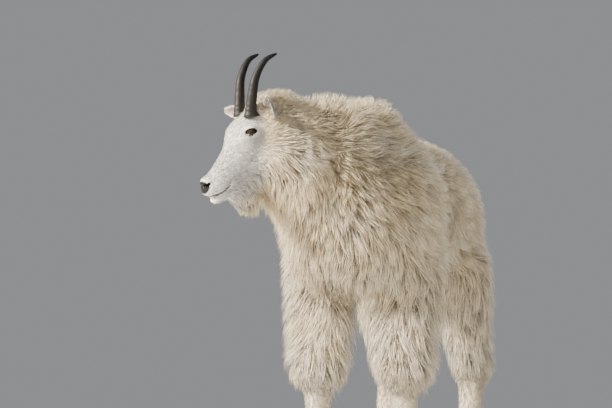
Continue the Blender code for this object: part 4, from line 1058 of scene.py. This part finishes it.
def ear_frame(name):
    """Base and the ear's own tipward, across and cup directions in the goat's frame."""
    (lateral, forward, rise), side = EAR_AIM[name]
    tipward = unit(LEVEL_AHEAD * forward + side * HEAD_AXES[1] * lateral + np.array((0, 0, rise)))
    opening = HEAD_AXES[0] * 0.55 + LEVEL_AHEAD * 0.75 + side * HEAD_AXES[1] * 0.15
    opening = unit(opening - tipward * (opening @ tipward))
    return from_head(EAR_BASE * (1, side, 1)), tipward, np.cross(tipward, opening), opening


def ear_point(name, share, turn_share, lift=0.0):
    """Points of the ear's sheet, lifted off it towards its back, and the directions away from its cup."""
    base, tipward, across, opening = ear_frame(name)
    share, turn_share = np.broadcast_arrays(share, turn_share)
    half = 0.5 * EAR_WIDTH * np.sin(math.pi * (0.20 + 0.78 * share) ** 0.9) ** 0.75
    curl = EAR_CURL * (1.0 - 0.55 * share)
    turn = turn_share * curl
    bow = half / np.sin(np.minimum(curl, 1.5))
    outward = across * np.sin(turn)[..., None] - opening * np.cos(turn)[..., None]
    point = base + tipward * (share * EAR_LENGTH - EAR_SUNK)[..., None]
    point = point + across * (bow * np.sin(turn))[..., None]
    point = point - opening * (bow * (np.cos(turn) - np.cos(curl)))[..., None]
    return point + outward * np.asarray(lift)[..., None], outward


def make_ear(name, finish):
    """A thin, cupped ear: its two faces and the rim between them."""
    rows, columns = EAR_ROWS, EAR_COLUMNS
    share = np.repeat(np.linspace(0.0, 1.0, rows), columns)
    turn = np.tile(np.linspace(-1.0, 1.0, columns), rows)
    wall = EAR_WALL * EAR_THIN * (1.0 - 0.45 * share) * (1.0 - 0.6 * np.abs(turn) ** 3)
    outer, _ = ear_point(name, share, turn, 0.5 * wall)
    inner, _ = ear_point(name, share, turn, -0.5 * wall)
    size = rows * columns
    a = (np.arange(rows - 1)[:, None] * columns + np.arange(columns - 1)[None]).ravel()
    b, c, d = a + 1, a + columns + 1, a + columns
    back = [np.stack((a, b, c), 1), np.stack((a, c, d), 1)]
    rim = list(range(columns)) + [i * columns + columns - 1 for i in range(1, rows)]
    rim += [(rows - 1) * columns + k for k in range(columns - 2, -1, -1)]
    rim = np.array(rim + [i * columns for i in range(rows - 2, 0, -1)])
    after = np.roll(rim, -1)
    faces = back + [face[:, (0, 2, 1)] + size for face in back]
    faces += [np.stack((rim, rim + size, after + size), 1), np.stack((rim, after + size, after), 1)]
    shell = mesh_object(name + "_shell", np.concatenate((outer, inner)), np.concatenate(faces), finish)
    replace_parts(shell, name)


def grow_ear(name, finish, seed):
    """Short hair on an ear's back and long pale tufts along its rims and in its cup."""
    random = np.random.default_rng(seed)
    _, tipward, across, opening = ear_frame(name)
    steps = np.arange(4) / 3
    grown = []
    for count, shares, turns, lift, length, height, facing in EAR_HAIR:
        place = random.uniform(*shares, count)
        turn = random.uniform(*turns, count)
        root, away = ear_point(name, place, turn, np.full(count, lift * EAR_WALL * EAR_THIN))
        away = away * facing
        inwards = -np.sign(turn)[:, None] * across * (0.35 if facing < 0 else 0.05)
        lie = unit(tipward + inwards + 0.12 * random.normal(0.0, 1.0, (count, 3)) + away * 0.05)
        reach = length * random.uniform(*LENGTH_RANGE, count) * (1.0 - 0.35 * place)
        path = root[:, None] + lie[:, None] * (reach[:, None] * steps)[:, :, None]
        path += away[:, None] * (height * steps**RISE_POWER - 0.0006 * (steps == 0))[None, :, None]
        grown.append((root, path, np.repeat(away[:, None], 4, axis=1)))
    roots, paths, outs = (np.concatenate(part) for part in zip(*grown))
    widths = np.full(len(roots), EAR_HAIR_WIDTH)
    marks = np.tile((0.25, 0.0, 0.0, 0.1), (len(roots), 1))
    tones = random.uniform(0.3, 0.7, len(roots))
    coat_piece("coat_" + name, roots, paths, outs, widths, marks, tones, (tipward, opening), finish)


def make_eye(name, side, finish):
    """An eyeball with a clear bulge over its iris, looking outwards and a little ahead."""
    gaze = unit(np.array(EYE_GAZE))
    up = unit(UPRIGHT - gaze * gaze[2])
    level = np.cross(up, gaze)
    angle = around(EYE_SIDES)
    rings, marks = [], []
    for i in range(1, EYE_ROWS):
        polar = math.pi * i / EYE_ROWS
        off = math.sin(polar)
        radius = EYE_RADIUS * 0.985 + CORNEA * math.exp(-((polar / CORNEA_ANGLE) ** 4))
        circle = np.cos(angle)[:, None] * level + np.sin(angle)[:, None] * up
        rings.append(EYE_PLACE + radius * (math.cos(polar) * gaze + off * circle))
        across, high = off * np.cos(angle) / PUPIL_RADII[0], off * np.sin(angle) / PUPIL_RADII[1]
        front = math.cos(polar) > 0.0
        pupil = (1.0 - smooth_step(*PUPIL_EDGE, np.sqrt(across**2 + high**2))) * front
        iris = np.full(EYE_SIDES, (1.0 - smooth_step(*IRIS_EDGE, np.array(off))) * front)
        rim = np.full(EYE_SIDES, math.exp(-(((off - IRIS_RIM) / IRIS_RIM_REACH) ** 2)) * front)
        marks.append(np.stack((iris, pupil, rim, np.ones(EYE_SIDES)), 1))
    vertices, faces = lofted(rings)
    marks = np.concatenate(marks + [marks[0][:1], marks[-1][:1]])
    vertices = from_head(vertices * (1, side, 1))
    if side < 0:
        faces = faces[:, ::-1]
    eye = mesh_object(name + "_ball", vertices, faces, finish)
    colour_attribute(eye.data, "marks", marks)
    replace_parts(eye, name)


def make_claw(name, leg, inner, finish):
    """One of a foot's two claws, with a rounded top edge, a flat sole and a pointed toe."""
    coronet, _ = leg_joints(leg)[-1]
    turn = leg["side"] * (-1 if inner else 1)
    angle = around(CLAW_SIDES)
    across = np.maximum(0.0, 0.5 + 0.5 * np.cos(angle)) ** 0.8
    along = -np.sin(angle)
    toe = 1.0 + 0.10 * np.maximum(0.0, along)
    rings = []
    for size, shift, level in CLAW_LEVELS:
        y = coronet[1] - 0.004 - 0.5 * HOOF_LENGTH * along * toe * size + shift
        width = HOOF_WIDTH * across * size * (1.0 - 0.35 * np.maximum(0.0, along) ** 2)
        x = coronet[0] + turn * (CLEFT + width)
        top = HOOF_TOP - 0.0004 + (y - coronet[1]) * HOOF_NORMAL[1]
        z = np.full(CLAW_SIDES, level) if level < 0.01 else CLAW_SOLE + (top - CLAW_SOLE) * level
        rings.append(np.stack((x, y, z), 1))
    vertices, faces = lofted(rings)
    claw = mesh_object(name + "_shell", vertices, faces if turn < 0 else faces[:, ::-1], finish)
    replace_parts(claw, name)


class Nodes:
    """A short way to wire a material's nodes."""

    def __init__(self, name):
        """A new material with its shader."""
        self.material = bpy.data.materials.new(name)
        self.material.use_nodes = True
        self.tree = self.material.node_tree
        self.shader = self.tree.nodes["Principled BSDF"]

    def made(self, kind, inputs, **settings):
        """A new node with these settings, then these inputs."""
        node = self.tree.nodes.new("ShaderNode" + kind)
        for name, value in settings.items():
            setattr(node, name, value)
        for name, value in inputs.items():
            self.plug(node.inputs[name], value)
        return node

    def plug(self, socket, value):
        """Feeds a socket from another, from a node's first output or with a constant."""
        if isinstance(value, bpy.types.NodeSocket):
            self.tree.links.new(value, socket)
        elif isinstance(value, bpy.types.Node):
            self.tree.links.new(value.outputs[0], socket)
        else:
            socket.default_value = value

    def place(self):
        """The place in the piece's own frame."""
        return self.made("TexCoord", {}).outputs["Object"]

    def maths(self, operation, first, second, clamp=False):
        """The result of one operation on two numbers."""
        return self.made("Math", {0: first, 1: second}, operation=operation, use_clamp=clamp)

    def mix(self, share, first, second, kind="MIX"):
        """The first colour with this share of the second."""
        inputs = {"Factor": share, "A": first, "B": second}
        return self.made("Mix", inputs, data_type="RGBA", blend_type=kind).outputs["Result"]

    def marks(self, name):
        """The parts of a colour attribute: red, green, blue and alpha."""
        attribute = self.made("Attribute", {}, attribute_name=name)
        split = self.made("SeparateColor", {"Color": attribute.outputs["Color"]})
        return [*split.outputs, attribute.outputs["Alpha"]]

    def noise(self, scale, detail=3.0, stretch=(1.0, 1.0, 1.0)):
        """Noise of this scale in the piece's own frame."""
        mapping = self.made("Mapping", {"Vector": self.place(), "Scale": stretch})
        return self.made("TexNoise", {"Vector": mapping, "Scale": scale, "Detail": detail}).outputs["Fac"]

    def spread(self, value, low, high, to_low=0.0, to_high=1.0):
        """The value moved from one range to another."""
        inputs = {"Value": value, "From Min": low, "From Max": high, "To Min": to_low, "To Max": to_high}
        return self.made("MapRange", inputs)

    def bump(self, height, strength, distance):
        """Presses a height into the shader's normal."""
        node = self.made("Bump", {"Height": height, "Strength": strength, "Distance": distance})
        self.plug(self.shader.inputs["Normal"], node)

    def shade(self, colour, light):
        """The colour made this much lighter or darker."""
        grey = self.made("CombineColor", {"Red": light, "Green": light, "Blue": light})
        return self.mix(1.0, colour, grey, "MULTIPLY")

    def finish(self, **values):
        """Sets the shader's own inputs and gives its material."""
        for name, value in values.items():
            self.plug(self.shader.inputs[name.replace("_", " ")], value)
        return self.material


def coat_colour(nodes):
    """The colour that the skin and the coat share, from their markings and a little uneven yellowing."""
    cream, soiled, dark, grey = nodes.marks("marks")
    patchy = nodes.spread(nodes.noise(9.0), 0.3, 0.7, 0.72, 1.12)
    colour = nodes.mix(nodes.maths("MULTIPLY", cream, patchy, clamp=True), WHITE, CREAM)
    colour = nodes.mix(grey, colour, GREY)
    clotted = nodes.spread(nodes.noise(70.0), 0.38, 0.62, 0.25, 1.25)
    colour = nodes.mix(nodes.maths("MULTIPLY", soiled, clotted, clamp=True), colour, SOIL)
    # The dark mark lays on black for the dark skin and for the painted shadow behind each ear.
    return nodes.mix(dark, colour, BLACK), dark


def coat_material():
    """Hair: each strand its own tone, with painted shade darkening it towards its root and a faint painted
    highlight at its tip.
    """
    nodes = Nodes("coat_hair")
    colour, _ = coat_colour(nodes)
    tone, along, _, _ = nodes.marks("strand")
    # Painted shade: each strand darkens towards its root, where the coat shades itself, and grows a little
    # lighter at its tip as a painted highlight.
    root_shade = nodes.spread(along, 0.0, 0.75, *ROOT_SHADE_TO_TIP_LIGHT)
    light = nodes.maths("MULTIPLY", nodes.spread(tone, 0.0, 1.0, *TONE_LIGHT), root_shade)
    colour = nodes.shade(colour, light)
    nodes.bump(nodes.noise(420.0, 2.0, (1.0, 1.0, 0.25)), 0.25, 0.0006)
    return nodes.finish(
        Base_Color=colour, Roughness=0.62, Sheen_Weight=0.25, Sheen_Roughness=0.5, Specular_IOR_Level=0.35
    )


def skin_material():
    """Skin under the coat, and the short hair of the face, with a pebbled nose."""
    nodes = Nodes("skin_hide")
    colour, dark = coat_colour(nodes)
    fine = nodes.noise(600.0, 3.0)
    shade = nodes.spread(fine, 0.3, 0.7, 0.86, 1.06)
    colour = nodes.shade(colour, shade)
    pebbles = nodes.made("TexVoronoi", {"Vector": nodes.place(), "Scale": 480.0})
    nodes.bump(nodes.mix(dark, fine, pebbles.outputs["Distance"]), 0.55, 0.0006)
    gloss = nodes.spread(dark, 0.2, 0.9, 0.72, 0.42)
    return nodes.finish(Base_Color=colour, Roughness=gloss, Specular_IOR_Level=0.22)


def horn_material():
    """Keratin: grey-brown at the root, black towards the tip, streaked along and dusty in its rings."""
    nodes = Nodes("horn_keratin")
    split = nodes.made("SeparateXYZ", {"Vector": nodes.place()})
    up = nodes.spread(split.outputs["Z"], HORN_ROOT_Z, HORN_DARK_Z)
    streaks = nodes.noise(160.0, 4.0, (1.0, 1.0, 0.12))
    colour = nodes.mix(up, HORN_BROWN, HORN_BLACK)
    colour = nodes.mix(nodes.spread(streaks, 0.45, 0.75, 0.0, 0.40), colour, HORN_DUST)
    nodes.bump(streaks, 0.35, 0.0006)
    rough = nodes.spread(nodes.noise(45.0), 0.3, 0.7, 0.50, 0.66)
    return nodes.finish(Base_Color=colour, Roughness=rough, Specular_IOR_Level=0.28)


def hoof_material():
    """Horny hoof, dark and ringed by growth lines, dusty at the ground."""
    nodes = Nodes("hoof_horn")
    lines = nodes.noise(55.0, 3.0, (0.4, 0.4, 9.0))
    dust = nodes.noise(90.0, 4.0)
    colour = nodes.mix(nodes.spread(lines, 0.35, 0.7), HOOF_DARK, HOOF_BROWN)
    colour = nodes.mix(nodes.spread(dust, 0.5, 0.75, 0.0, 0.5), colour, HOOF_DUST)
    nodes.bump(lines, 0.5, 0.0008)
    return nodes.finish(Base_Color=colour, Roughness=nodes.spread(dust, 0.3, 0.7, 0.42, 0.62))


def ear_material():
    """The ear's thin skin: pale grey-pink, mottled and finely veined."""
    nodes = Nodes("ear_skin")
    mottle = nodes.noise(120.0, 4.0)
    colour = nodes.mix(nodes.spread(mottle, 0.35, 0.65), EAR_PINK, EAR_PALE)
    nodes.bump(mottle, 0.3, 0.0005)
    return nodes.finish(Base_Color=colour, Roughness=0.6)


def eye_material():
    """A wet eye: an amber-brown iris with fine spokes, a level dark pupil and a dark rim."""
    nodes = Nodes("eye_wet")
    iris, pupil, rim, _ = nodes.marks("marks")
    spokes = nodes.noise(900.0, 3.0)
    amber = nodes.mix(nodes.spread(spokes, 0.3, 0.7), IRIS_BROWN, IRIS_AMBER)
    colour = nodes.mix(iris, SCLERA_BROWN, amber)
    colour = nodes.mix(nodes.maths("MULTIPLY", rim, 0.85), colour, EYE_RIM)
    colour = nodes.mix(pupil, colour, PUPIL_BLACK)
    return nodes.finish(
        Base_Color=colour, Roughness=0.20, Specular_IOR_Level=0.25, Coat_Weight=0.35, Coat_Roughness=0.03
    )


def floor_material():
    """A pale, faintly mottled studio floor."""
    nodes = Nodes("studio_floor")
    mottle = nodes.noise(3.0, 4.0)
    colour = nodes.mix(nodes.spread(mottle, 0.3, 0.7), FLOOR_GREY, FLOOR_PALE)
    return nodes.finish(Base_Color=colour, Roughness=0.8)


def main_pieces():
    """Every piece of the goat, each in place of its solids."""
    coat, hide = coat_material(), skin_material()
    skin_piece, vertices, faces = make_skin(hide)
    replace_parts(skin_piece, "head", "neck", "torso", "tail", *LEGS)
    grow_coat(vertices, faces, coat)
    eye = eye_material()
    make_eye("eye_left", 1, eye)
    make_eye("eye_right", -1, eye)
    horn = horn_material()
    make_horn("horn_left", 1, horn)
    make_horn("horn_right", -1, horn)
    ear = ear_material()
    for name, seed in (("ear_left", 31), ("ear_right", 32)):
        make_ear(name, ear)
        grow_ear(name, coat, seed)
    hoof = hoof_material()
    for name, leg in LEGS.items():
        foot = name.replace("leg", "hoof")
        make_claw(foot + "_inner", leg, True, hoof)
        make_claw(foot + "_outer", leg, False, hoof)


def aim(obj, direction):
    """Turns a camera or a light to look along a direction."""
    obj.rotation_euler = Vector(direction).to_track_quat("-Z", "Y").to_euler()


def make_camera():
    """The camera, level with the goat's chest and shifted so that the goat stands right of the middle."""
    towards = np.array((math.sin(CAMERA_TURN), -math.cos(CAMERA_TURN), 0.0))
    across = np.array((math.cos(CAMERA_TURN), math.sin(CAMERA_TURN), 0.0))
    data = bpy.data.cameras.new("camera")
    data.sensor_width = SENSOR
    data.lens = SENSOR * CAMERA_AWAY / FRAME_WIDTH
    data.clip_end = 200.0
    camera = linked("camera", data)
    camera.location = towards * CAMERA_AWAY - across * CAMERA_SHIFT + UPRIGHT * CAMERA_HEIGHT - MIDDLE
    aim(camera, -towards)
    bpy.context.scene.camera = camera


def area_light(name, place, size, power, colour):
    """A round soft light that faces the goat's middle."""
    data = bpy.data.lights.new(name, "AREA")
    data.shape = "DISK"
    data.size = size
    data.energy = power
    data.color = colour
    light = linked(name, data)
    light.location = place
    aim(light, np.array((0.0, 0.0, LIT_HEIGHT)) - np.array(place))


def make_studio():
    """A round floor, a warm key light from the front left, a weak fill, a rim light and an even sky."""
    floor = bpy.data.meshes.new("floor")
    edge = [(FLOOR_RADIUS * math.cos(a), FLOOR_RADIUS * math.sin(a), 0.0) for a in around(FLOOR_SIDES)]
    floor.from_pydata(edge, [], [tuple(range(FLOOR_SIDES))])
    floor.materials.append(floor_material())
    linked("floor", floor)
    for name, light in LIGHTS.items():
        area_light(name, *light)
    world = bpy.data.worlds.new("studio")
    world.use_nodes = True
    sky = world.node_tree.nodes["Background"]
    sky.inputs["Color"].default_value = SKY_COLOUR
    sky.inputs["Strength"].default_value = SKY_STRENGTH
    bpy.context.scene.world = world


main_pieces()
make_camera()
make_studio()
